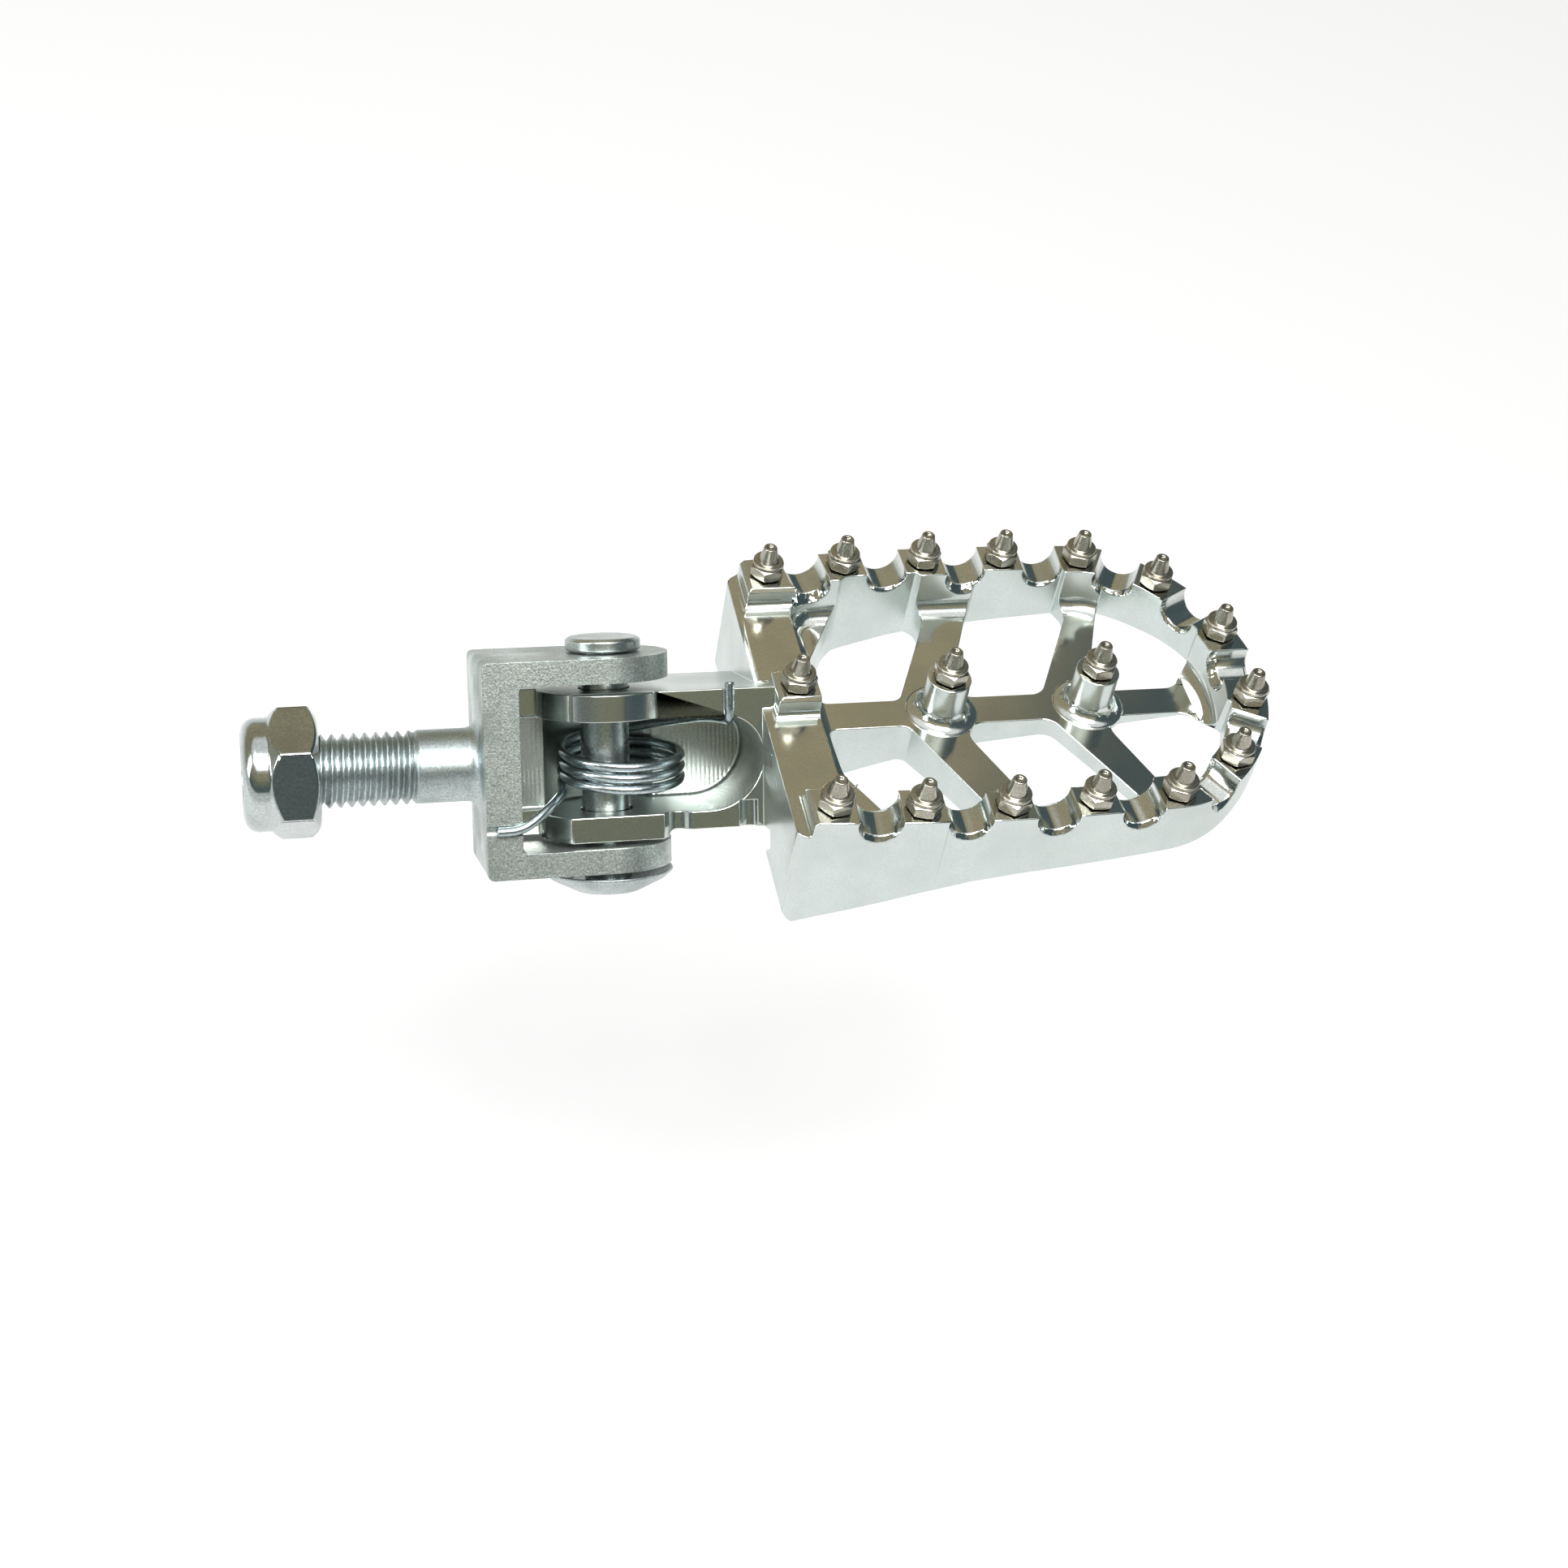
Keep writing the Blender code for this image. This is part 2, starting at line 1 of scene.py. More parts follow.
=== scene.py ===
"""Looks of a folding foot peg: a milled aluminium tread that folds up on a sprung pin in a plated clevis.

Sizes are in millimetres in the model's own frame until a piece is finished, when its mesh becomes metres.
"Hinge frame" means X, the pin's direction P and the open side N of the clevis, turned about X.
"""
import logging
import math
from collections.abc import Iterable
from dataclasses import dataclass, field
from enum import Enum

import bmesh
import bpy
from mathutils import Matrix, Vector


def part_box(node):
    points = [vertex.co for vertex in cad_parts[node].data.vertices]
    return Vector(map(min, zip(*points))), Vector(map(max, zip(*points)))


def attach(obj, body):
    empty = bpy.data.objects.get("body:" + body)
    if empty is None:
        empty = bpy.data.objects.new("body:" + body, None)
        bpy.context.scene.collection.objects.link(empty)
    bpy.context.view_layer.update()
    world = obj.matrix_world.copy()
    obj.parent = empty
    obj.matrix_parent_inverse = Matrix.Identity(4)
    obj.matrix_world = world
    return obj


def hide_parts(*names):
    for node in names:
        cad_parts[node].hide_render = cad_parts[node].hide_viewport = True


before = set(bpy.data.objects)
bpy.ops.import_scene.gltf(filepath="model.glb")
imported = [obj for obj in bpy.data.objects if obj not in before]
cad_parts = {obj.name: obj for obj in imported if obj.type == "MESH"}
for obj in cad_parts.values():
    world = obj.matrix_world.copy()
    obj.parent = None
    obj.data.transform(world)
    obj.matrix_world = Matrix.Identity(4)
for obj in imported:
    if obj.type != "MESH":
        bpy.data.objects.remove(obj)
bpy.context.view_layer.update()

LOG = logging.getLogger("foot_peg")
MM = 0.001
Point = tuple[float, float]
Triple = tuple[float, float, float]
Stops = tuple[tuple[float, str], ...]
Solid = bmesh.types.BMesh
ROLL = math.radians(53.0)
HINGE = Matrix.Rotation(ROLL, 4, "X")
N_AXIS = (HINGE @ Vector((0.0, 0.0, 1.0))).normalized()


# ---------------------------------------------------------------- colour, nodes and finishes

def linear(code: str) -> tuple[float, float, float, float]:
    """Turn an sRGB hex colour into linear light.

    Args:
        code: six hex digits, such as "C9D1CE".

    Returns:
        Linear red, green, blue and an alpha of 1.
    """
    parts = [int(code[i:i + 2], 16) / 255 for i in (0, 2, 4)]
    return (*(p / 12.92 if p <= 0.04045 else ((p + 0.055) / 1.055) ** 2.4 for p in parts), 1.0)


def node(tree: bpy.types.NodeTree, kind: str, inputs: dict | None = None, **settings) -> bpy.types.Node:
    """Add a shader node.

    Args:
        tree: the node tree to add to.
        kind: node type, without its ShaderNode prefix.
        inputs: value or output socket for each input, by name or number.
        **settings: properties of the node.

    Returns:
        The new node.
    """
    made = tree.nodes.new("ShaderNode" + kind)
    for key, value in settings.items():
        setattr(made, key, value)
    for key, value in (inputs or {}).items():
        if isinstance(value, bpy.types.NodeSocket):
            tree.links.new(value, made.inputs[key])
        else:
            made.inputs[key].default_value = value
    return made


class Lay(Enum):
    """Direction and form of the marks that a process leaves."""

    FACE_ARCS = "wide arcs of a face mill"
    LEVEL_LINES = "level lines of a side mill stepping down"
    CUSPS = "small dished steps of a ball mill"
    SWEEPS = "curved passes of a ball mill"
    ROUND_SHANK = "turning marks round the shank's axis"
    ROUND_PIN = "turning marks round the pin's axis"
    ROUND_STUD = "turning marks round an upright axis"
    GRAIN = "even grain with no direction"


@dataclass(frozen=True)
class Finish:
    """A metal surface: a base metal, and the marks of the process that made it.

    Attributes:
        name: real material and manufacture.
        colour: sRGB hex of the clean metal.
        shade: sRGB hex in its marks and cloudy patches.
        roughness: typical roughness.
        wander: how far roughness moves either way over the surface.
        lay: form of the marks.
        pitch: spacing of the marks, mm.
        depth: height of the marks, mm.
        grain: size of the fine speckle, mm.
        grain_depth: height of the speckle, mm.
        metallic: 1 for metal, 0 for plastic.
    """

    name: str
    colour: str
    shade: str
    roughness: float
    wander: float
    lay: Lay
    pitch: float
    depth: float
    grain: float = 0.4
    grain_depth: float = 0.0
    metallic: float = 1.0

    def material(self) -> bpy.types.Material:
        """Return the finish as a material, made once."""
        found = bpy.data.materials.get(self.name)
        return found or self._make()

    def _marks(self, tree: bpy.types.NodeTree, place: bpy.types.NodeSocket) -> bpy.types.NodeSocket:
        """Add the nodes that draw the marks.

        Args:
            tree: the material's node tree.
            place: output with the point on the surface, in metres.

        Returns:
            An output that runs from 0 in a mark to 1 between marks.
        """
        rolled = self.lay in (Lay.ROUND_PIN, Lay.SWEEPS)
        turn = (-ROLL if rolled else 0.0, 0.0, 0.0)
        centres = {Lay.FACE_ARCS: (-0.02, 0.11, 0.0), Lay.SWEEPS: (-0.0212, 0.0, 0.0)}
        shift = centres.get(self.lay, (0.0, 0.0, 0.0))
        laid = node(tree, "Mapping", {"Vector": place, "Rotation": turn, "Location": shift}).outputs[0]
        if self.lay in (Lay.GRAIN, Lay.CUSPS):
            cells = node(tree, "TexVoronoi", {"Vector": laid, "Scale": 1 / (self.pitch * MM)}, feature="F1")
            return cells.outputs["Distance"]
        # A wave's bands are tau / 20 of a unit apart at scale 1.
        scale = math.tau / 20 / (self.pitch * MM)
        axis = {Lay.LEVEL_LINES: "Z", Lay.ROUND_SHANK: "X", Lay.ROUND_PIN: "Y",
                Lay.ROUND_STUD: "Z"}.get(self.lay)
        rings = {Lay.FACE_ARCS: "Z", Lay.SWEEPS: "Y"}.get(self.lay)
        inputs = {"Vector": laid, "Scale": scale, "Distortion": 1.2, "Detail": 1.0, "Detail Scale": 0.02}
        if rings:
            return node(tree, "TexWave", inputs, wave_type="RINGS", rings_direction=rings).outputs["Fac"]
        return node(tree, "TexWave", inputs, wave_type="BANDS", bands_direction=axis).outputs["Fac"]

    def _make(self) -> bpy.types.Material:
        """Build the material's nodes.

        Returns:
            The new material.
        """
        made = bpy.data.materials.new(self.name)
        made.use_nodes = True
        made.diffuse_color = linear(self.colour)
        tree = made.node_tree
        shader = tree.nodes["Principled BSDF"]
        shader.inputs["Metallic"].default_value = self.metallic
        place = node(tree, "TexCoord").outputs["Object"]
        marks = self._marks(tree, place)
        clouds = node(tree, "TexNoise", {"Vector": place, "Scale": 110.0, "Detail": 3.0, "Roughness": 0.55})
        speckle = node(tree, "TexNoise", {"Vector": place, "Scale": 1 / (self.grain * MM), "Detail": 2.0})
        both = node(tree, "Math", {0: clouds.outputs["Fac"], 1: speckle.outputs["Fac"]},
                    operation="MULTIPLY")
        level = node(tree, "MapRange", {"Value": both.outputs[0], "From Min": 0.15, "From Max": 0.38})
        tone = node(tree, "Mix", {0: level.outputs[0], 6: linear(self.shade), 7: linear(self.colour)},
                    data_type="RGBA")
        tree.links.new(tone.outputs[2], shader.inputs["Base Color"])
        rough = node(tree, "MapRange", {"Value": clouds.outputs["Fac"], "From Min": 0.3, "From Max": 0.7,
                                        "To Min": self.roughness + self.wander,
                                        "To Max": max(0.02, self.roughness - self.wander)})
        tree.links.new(rough.outputs[0], shader.inputs["Roughness"])
        fine = node(tree, "Bump", {"Height": speckle.outputs["Fac"], "Distance": self.grain_depth * MM,
                                   "Strength": 1.0})
        bump = node(tree, "Bump", {"Height": marks, "Distance": self.depth * MM, "Strength": 1.0,
                                   "Normal": fine.outputs[0]})
        tree.links.new(bump.outputs[0], shader.inputs["Normal"])
        return made


# Billet aluminium under a face mill: a near mirror, faintly brushed in wide arcs.
FACE_MILLED = Finish("aluminium_face_milled", "DADCD6", "CBCDC6", 0.13, 0.03, Lay.FACE_ARCS, 0.5, 0.00006,
                     0.25, 0.0004)
# The same billet under the side of an end mill: satin, with level steps; its colour, darker and bluer than
# the level faces', is painted shade and reflection on the upright faces.
SIDE_MILLED_PAINTED_SHADE = Finish("aluminium_side_milled_painted_shade", "CDD5D2", "C2CAC7", 0.30, 0.04, Lay.LEVEL_LINES, 0.55, 0.0006,
                     0.3, 0.0010)
# Contoured with a ball mill: bright, with curved passes that break up highlights.
BALL_MILLED = Finish("aluminium_ball_milled", "DCDFDB", "C6CBC8", 0.16, 0.05, Lay.SWEEPS, 0.5, 0.0008,
                     0.3, 0.0008)
# The channel's floor, roughed out and left, with wide sweeping passes; its pale grey, darker than the peg's
# other faces, is painted shade in the channel between the ears.
CHANNEL_MILLED_PAINTED_SHADE = Finish("aluminium_channel_milled_painted_shade", "C6CCC8", "A6ACA8", 0.34, 0.06, Lay.SWEEPS, 0.7, 0.03,
                        0.3, 0.0020)
# Where the ball mill runs out at the rim: dished cusps that sparkle.
CUSP_MILLED = Finish("aluminium_cusp_milled", "E2E5E2", "B4BBBA", 0.10, 0.04, Lay.CUSPS, 1.1, 0.10,
                     0.3, 0.0)
# Bright zinc over a shot-blasted forging: satin grey with an even grain.
ZINC_FORGED = Finish("steel_forged_zinc_plated", "D2DAD7", "8B928E", 0.42, 0.07, Lay.GRAIN, 0.7, 0.014,
                     0.28, 0.032)
# Bright zinc over a turned shank and rolled thread: smoother than the forging.
ZINC_TURNED = Finish("steel_turned_zinc_plated", "C4CDCD", "949D9D", 0.36, 0.07, Lay.ROUND_SHANK, 0.35,
                     0.003, 0.3, 0.014)
# Bright nickel-zinc over a cold-formed nut: close to chrome.
NUT_PLATED = Finish("steel_nut_bright_plated", "C6CCCB", "ABB2B1", 0.12, 0.04, Lay.GRAIN, 0.8, 0.001,
                    0.4, 0.001)
# Ground and plated pin: bright, with turning rings.
PIN_GROUND = Finish("steel_pin_ground", "CFD6D5", "A9B0AF", 0.28, 0.06, Lay.ROUND_PIN, 0.4, 0.001,
                    0.3, 0.006)
# Hard-drawn spring wire with a bluish plate.
WIRE_DRAWN = Finish("spring_steel_drawn", "C3CDCF", "98A4A7", 0.25, 0.05, Lay.GRAIN, 0.5, 0.001,
                    0.35, 0.002)
# Stainless studs turned on an automatic lathe: warm dark grey.
STUD_TURNED = Finish("stainless_steel_turned", "B9B6AA", "928E82", 0.27, 0.05, Lay.ROUND_STUD, 0.3, 0.003,
                     0.25, 0.004)
# The locking ring in the nut: dull blue nylon.
NYLON = Finish("nylon_moulded", "3B5C86", "2F4C72", 0.48, 0.05, Lay.GRAIN, 0.6, 0.004, 0.3, 0.003, 0.0)


# ---------------------------------------------------------------- drawing and machining solids

class Sketch:
    """An outline drawn in the XY plane, in mm, from point to point."""

    def __init__(self, x: float, y: float) -> None:
        """Start the outline at a point."""
        self.bm = bmesh.new()
        self.first = self.last = self.bm.verts.new((x, y, 0.0))

    def line(self, *points: Point) -> "Sketch":
        """Go on in straight runs.

        Args:
            *points: the next points.

        Returns:
            The sketch itself.
        """
        for x, y in points:
            after = self.bm.verts.new((x, y, 0.0))
            self.bm.edges.new((self.last, after))
            self.last = after
        return self

    def arc(self, x: float, y: float, degrees: float, steps: int = 12) -> "Sketch":
        """Go on round a centre.

        Args:
            x: centre.
            y: centre.
            degrees: sweep, anticlockwise if positive.
            steps: straight pieces in the arc.

        Returns:
            The sketch itself.
        """
        swept = bmesh.ops.spin(self.bm, geom=[self.last], cent=(x, y, 0), axis=(0, 0, 1),
                               angle=math.radians(degrees), steps=steps)
        self.last = next(v for v in swept["geom_last"] if isinstance(v, bmesh.types.BMVert))
        return self

    def prism(self, low: float, high: float, place: Matrix | None = None) -> Solid:
        """Close the outline and raise it into a solid.

        Args:
            low: height of the bottom.
            high: height of the top.
            place: where the solid goes, its Z being the direction that it was raised in.

        Returns:
            The solid.
        """
        self.bm.edges.new((self.last, self.first))
        face = bmesh.ops.contextual_create(self.bm, geom=self.bm.edges[:])["faces"][0]
        grown = bmesh.ops.extrude_face_region(self.bm, geom=[face])["geom"]
        bmesh.ops.translate(self.bm, vec=(0, 0, low), verts=self.bm.verts)
        top = [v for v in grown if isinstance(v, bmesh.types.BMVert)]
        bmesh.ops.translate(self.bm, vec=(0, 0, high - low), verts=top)
        return placed(self.bm, place)

    def side_prism(self, low: float, high: float, place: Matrix | None = None) -> Solid:
        """Raise the outline sideways: its (x, y) become (x, n), and it runs from low to high along P."""
        upright = Matrix.Rotation(math.radians(90), 4, "X")
        return self.prism(-high, -low, (place @ upright) if place else upright)

    def spun(self, steps: int, place: Matrix | None = None, ring: bool = False) -> Solid:
        """Turn the outline round the axis x = 0 into a solid.

        Args:
            steps: facets round the solid.
            place: where the solid goes, its Z being the axis.
            ring: close the outline first, for a solid with a hole.

        Returns:
            The solid.
        """
        if ring:
            self.bm.edges.new((self.last, self.first))
        bmesh.ops.rotate(self.bm, verts=self.bm.verts, matrix=Matrix.Rotation(math.radians(90), 3, "X"))
        bmesh.ops.spin(self.bm, geom=self.bm.verts[:] + self.bm.edges[:], cent=(0, 0, 0), axis=(0, 0, 1),
                       angle=math.tau, steps=steps, use_merge=True)
        bmesh.ops.remove_doubles(self.bm, verts=self.bm.verts, dist=0.0005)
        return placed(self.bm, place)


def placed(bm: Solid, place: Matrix | None) -> Solid:
    """Move a solid and turn its faces outwards.

    Args:
        bm: the solid.
        place: its new place, or None to leave it.

    Returns:
        The same solid.
    """
    if place:
        bmesh.ops.transform(bm, matrix=place, verts=bm.verts)
    bmesh.ops.recalc_face_normals(bm, faces=bm.faces)
    return bm


def rod(radius: float, low: float, high: float, steps: int, place: Matrix | None = None) -> Solid:
    """Return a plain round bar along Z from low to high, then placed."""
    return Sketch(0, low).line((radius, low), (radius, high), (0, high)).spun(steps, place)


def evaluated(item: bpy.types.Object) -> bpy.types.Mesh:
    """Return an object's mesh with its modifiers or bevel applied."""
    bpy.context.view_layer.update()
    return bpy.data.meshes.new_from_object(item.evaluated_get(bpy.context.evaluated_depsgraph_get()))


def gathered(solids: Iterable[Solid]) -> Solid:
    """Put several solids that don't touch into one mesh.

    Args:
        solids: the solids, which are used up.

    Returns:
        All of them in one.
    """
    whole = bmesh.new()
    for bm in solids:
        carrier = bpy.data.meshes.new("carrier")
        bm.to_mesh(carrier)
        bm.free()
        whole.from_mesh(carrier)
        bpy.data.meshes.remove(carrier)
    return whole


def round_edges(bm: Solid, edges: list, radius: float, segments: int = 8) -> None:
    """Round edges to a radius.

    Args:
        bm: the solid.
        edges: edges that all turn through about the same angle.
        radius: radius of the arc that replaces each edge, mm.
        segments: facets across the arc.
    """
    reach = radius * math.tan(edges[0].calc_face_angle() / 2)
    bmesh.ops.bevel(bm, geom=edges, offset=reach, offset_type="OFFSET", affect="EDGES", segments=segments,
                    profile=0.5, material=-1, clamp_overlap=True)


def round_uprights(bm: Solid, corners: Iterable[Triple],
                   segments: int = 8) -> Solid:
    """Round upright edges of a prism, each to its own radius.

    Args:
        bm: the prism.
        corners: x, y and radius of each corner.
        segments: facets across each arc.

    Returns:
        The same prism.
    """
    for x, y, radius in corners:
        uprights = [e for e in bm.edges if (e.verts[0].co.xy - e.verts[1].co.xy).length < 1e-4]
        nearest = min(uprights, key=lambda e: (e.verts[0].co.xy - Vector((x, y))).length)
        round_edges(bm, [nearest], radius, segments)
    return bm


def along_x(x: float = 0.0) -> Matrix:
    """Return the place of a solid whose Z runs along +X from x."""
    return Matrix.Translation((x, 0, 0)) @ Matrix.Rotation(math.radians(90), 4, "Y")


def along_p(x: float = 0.0, n: float = 0.0) -> Matrix:
    """Return the place, in the hinge frame, of a solid whose Z runs along P through (x, n)."""
    return Matrix.Translation((x, 0, n)) @ Matrix.Rotation(math.radians(-90), 4, "X")


class Workpiece:
    """A solid that is cut and joined with other solids, in mm, then finished as a piece."""

    def __init__(self, blank: Solid, finishes: list[Finish]) -> None:
        """Start from a blank, with the finishes that its faces may have."""
        self.materials = [finish.material() for finish in finishes]
        self.item = self._object(blank)

    def _object(self, bm: Solid) -> bpy.types.Object:
        """Return a solid as an object, using it up."""
        mesh = bpy.data.meshes.new("work")
        bm.to_mesh(mesh)
        bm.free()
        for material in self.materials:
            mesh.materials.append(material)
        item = bpy.data.objects.new("work", mesh)
        bpy.context.collection.objects.link(item)
        return item

    def _combine(self, tool: Solid, operation: str) -> "Workpiece":
        """Take one Boolean.

        Args:
            tool: the other solid, which is used up.
            operation: DIFFERENCE, UNION or INTERSECT.

        Returns:
            The workpiece itself.
        """
        other = self._object(tool)
        step = self.item.modifiers.new("cut", "BOOLEAN")
        step.operation, step.solver, step.object = operation, "EXACT", other
        result = evaluated(self.item)
        self.item.modifiers.clear()
        self.item.data = result
        bpy.data.objects.remove(other)
        return self

    def cut(self, tool: Solid) -> "Workpiece":
        """Remove a solid."""
        return self._combine(tool, "DIFFERENCE")

    def join(self, tool: Solid) -> "Workpiece":
        """Add a solid."""
        return self._combine(tool, "UNION")

    def keep(self, tool: Solid) -> "Workpiece":
        """Keep only what lies inside a solid."""
        return self._combine(tool, "INTERSECT")

    def taken(self) -> Solid:
        """End the work and return the solid."""
        bm = bmesh.new()
        bm.from_mesh(self.item.data)
        bpy.data.objects.remove(self.item)
        bmesh.ops.remove_doubles(bm, verts=bm.verts, dist=0.002)
        bmesh.ops.dissolve_degenerate(bm, edges=bm.edges, dist=0.002)
        return bm


@dataclass
class Edging:
    """How a piece's sharp edges are broken.

    Attributes:
        width: width of the rounding, mm; 0 leaves edges sharp.
        segments: facets across it.
        angle: edges that turn further than this are rounded, degrees.
    """

    width: float = 0.0
    segments: int = 2
    angle: float = 35.0


def settle(name: str, bm: Solid, body: str, nodes: list[str], finishes: list[Finish],
           edging: Edging) -> bpy.types.Object:
    """Make a solid into a piece that rides on a body.

    Args:
        name: the piece's name.
        bm: the solid in mm, in its final place, which is used up.
        body: the body that it moves with.
        nodes: the model's nodes that it stands for.
        finishes: finishes in the order of the faces' material numbers.
        edging: how its sharp edges are broken.

    Returns:
        The piece.
    """
    bmesh.ops.scale(bm, vec=(MM, MM, MM), verts=bm.verts)
    mesh = bpy.data.meshes.new(name)
    bm.to_mesh(mesh)
    bm.free()
    for finish in finishes:
        mesh.materials.append(finish.material())
    mesh.shade_smooth()
    mesh.set_sharp_from_angle(angle=math.radians(edging.angle))
    item = bpy.data.objects.new(name, mesh)
    bpy.context.collection.objects.link(item)
    if edging.width:
        step = item.modifiers.new("edges", "BEVEL")
        step.width, step.segments = edging.width * MM, edging.segments
        step.limit_method, step.angle_limit = "ANGLE", math.radians(edging.angle)
        step.use_clamp_overlap = False
        step.miter_outer = "MITER_ARC"
    shade = item.modifiers.new("flat_faces", "WEIGHTED_NORMAL")
    shade.mode, shade.weight, shade.keep_sharp = "FACE_AREA", 80, True
    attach(item, body)
    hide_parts(*nodes)
    LOG.info("%s: %d faces on %s, stands for %s", name, len(mesh.polygons), body, ", ".join(nodes))
    return item


# ---------------------------------------------------------------- the bracket's side

@dataclass
class Clevis:
    """The forged U with its threaded shank."""

    bridge: float = 5.8
    arm_out: float = 17.6
    arm_in: float = 13.5
    half_depth: float = 10.6
    pin_x: float = 21.2
    pin_hole: float = 4.3
    shank_r: float = 6.0
    shank_end: float = -36.9
    thread_start: float = -11.2
    thread_pitch: float = 1.75
    thread_depth: float = 0.95
    neck_r: float = 8.0
    neck_fillet: float = 2.0
    inner_r: float = 0.7
    outer_r: float = 1.0
    groove: Triple = (-9.5, 1.0, 0.5)
    groove_clear: float = 1.6
    thread_rings: int = 14
    forged_r: float = 0.8

    def fork(self) -> Solid:
        """Return the U: its plan raised along N, then kept within its rounded side view."""
        reach = self.pin_x + self.half_depth
        plan = Sketch(0, -self.arm_out).line((reach + 1, -self.arm_out), (reach + 1, -self.arm_in),
                                             (self.bridge, -self.arm_in), (self.bridge, self.arm_in),
                                             (reach + 1, self.arm_in), (reach + 1, self.arm_out),
                                             (0, self.arm_out))
        tall = self.half_depth + 1
        solid = plan.prism(-tall, tall)
        round_uprights(solid, [(self.bridge, -self.arm_in, self.inner_r),
                               (self.bridge, self.arm_in, self.inner_r),
                               (0, -self.arm_out, self.outer_r), (0, self.arm_out, self.outer_r)], 6)
        side = Sketch(-2, -self.half_depth).line((self.pin_x, -self.half_depth))
        side.arc(self.pin_x, 0, 180, 48).line((-2, self.half_depth))
        work = Workpiece(solid, [ZINC_FORGED, ZINC_TURNED])
        work.keep(side.side_prism(-self.arm_out - 2, self.arm_out + 2))
        work.cut(rod(self.pin_hole, -25, 25, 48, along_p(self.pin_x)))
        middle, half, deep = self.groove
        bed_place = Matrix.Translation((0, middle, self.half_depth - deep + half)) @ along_x()
        work.cut(rod(half, -1, self.bridge + 1, 32, bed_place))
        return work.taken()

    def shank(self) -> Solid:
        """Return the neck and shank, with a helical thread raised on it."""
        fillet = self.neck_fillet
        draw = Sketch(0, 2.5).line((self.neck_r + 0.3, 2.5), (self.neck_r, 0))
        draw.arc(self.neck_r, -fillet, 90, 8).line((self.shank_r, self.thread_start + 2.5))
        start, end = self.thread_start + 2.4, self.shank_end + 0.8
        count = int((start - end) / self.thread_pitch * self.thread_rings)
        draw.line(*((self.shank_r, start + (end - start) * i / count) for i in range(count + 1)))
        draw.line((self.shank_r - 1.1, self.shank_end), (0, self.shank_end))
        bm = draw.spun(64)
        for vert in bm.verts:
            radius = vert.co.xy.length
            run = self.thread_start - vert.co.z
            if radius < self.shank_r - 0.05 or run < -self.thread_pitch or vert.co.z > 0:
                continue
            phase = (vert.co.z / self.thread_pitch + math.atan2(vert.co.y, vert.co.x) / math.tau) % 1.0
            notch = min(max(2.4 * (0.5 - abs(phase - 0.5)) - 0.15, 0.0), 0.9) / 0.9
            fade = min(1.0, (run + self.thread_pitch) / self.thread_pitch)
            vert.co.xy *= (radius - self.thread_depth * notch * fade) / radius
        for face in bm.faces:
            face.material_index = 1
        return placed(bm, along_x())

    def build(self) -> list[bpy.types.Object]:
        """Make the clevis.

        Returns:
            The piece.
        """
        work = Workpiece(self.fork(), [ZINC_FORGED, ZINC_TURNED])
        work.join(self.shank())
        bm = work.taken()
        self._soften(bm)
        bmesh.ops.transform(bm, matrix=HINGE, verts=bm.verts)
        return [settle("clevis_forging", bm, "bracket", ["clevis"],
                       [ZINC_FORGED, ZINC_TURNED], Edging())]

    def _soften(self, bm: Solid) -> None:
        """Round the forging's long edges, but not the thread, neck, pin holes and spring groove."""
        edges = [e for e in bm.edges if e.is_manifold and min(v.co.x for v in e.verts) > -0.05
                 and e.calc_face_angle() > math.radians(40) and not self._machined(e)]
        bmesh.ops.bevel(bm, geom=edges, offset=self.forged_r, offset_type="OFFSET", affect="EDGES",
                        segments=4, profile=0.5, material=-1, clamp_overlap=True)

    def _machined(self, edge: bmesh.types.BMEdge) -> bool:
        """Say whether an edge belongs to a pin hole, the neck or the spring groove."""
        ends = [v.co for v in edge.verts]
        middle, _, deep = self.groove
        in_hole = max(Vector((p.x - self.pin_x, p.z)).length for p in ends) < self.pin_hole + 0.1
        on_neck = max(p.yz.length for p in ends) < self.neck_r + 1
        in_groove = (min(p.z for p in ends) > self.half_depth - deep - 0.1
                     and max(p.x for p in ends) < self.bridge + 0.1
                     and max(p.y for p in ends) < middle + self.groove_clear
                     and min(p.y for p in ends) > middle - self.groove_clear)
        return in_hole or on_neck or in_groove


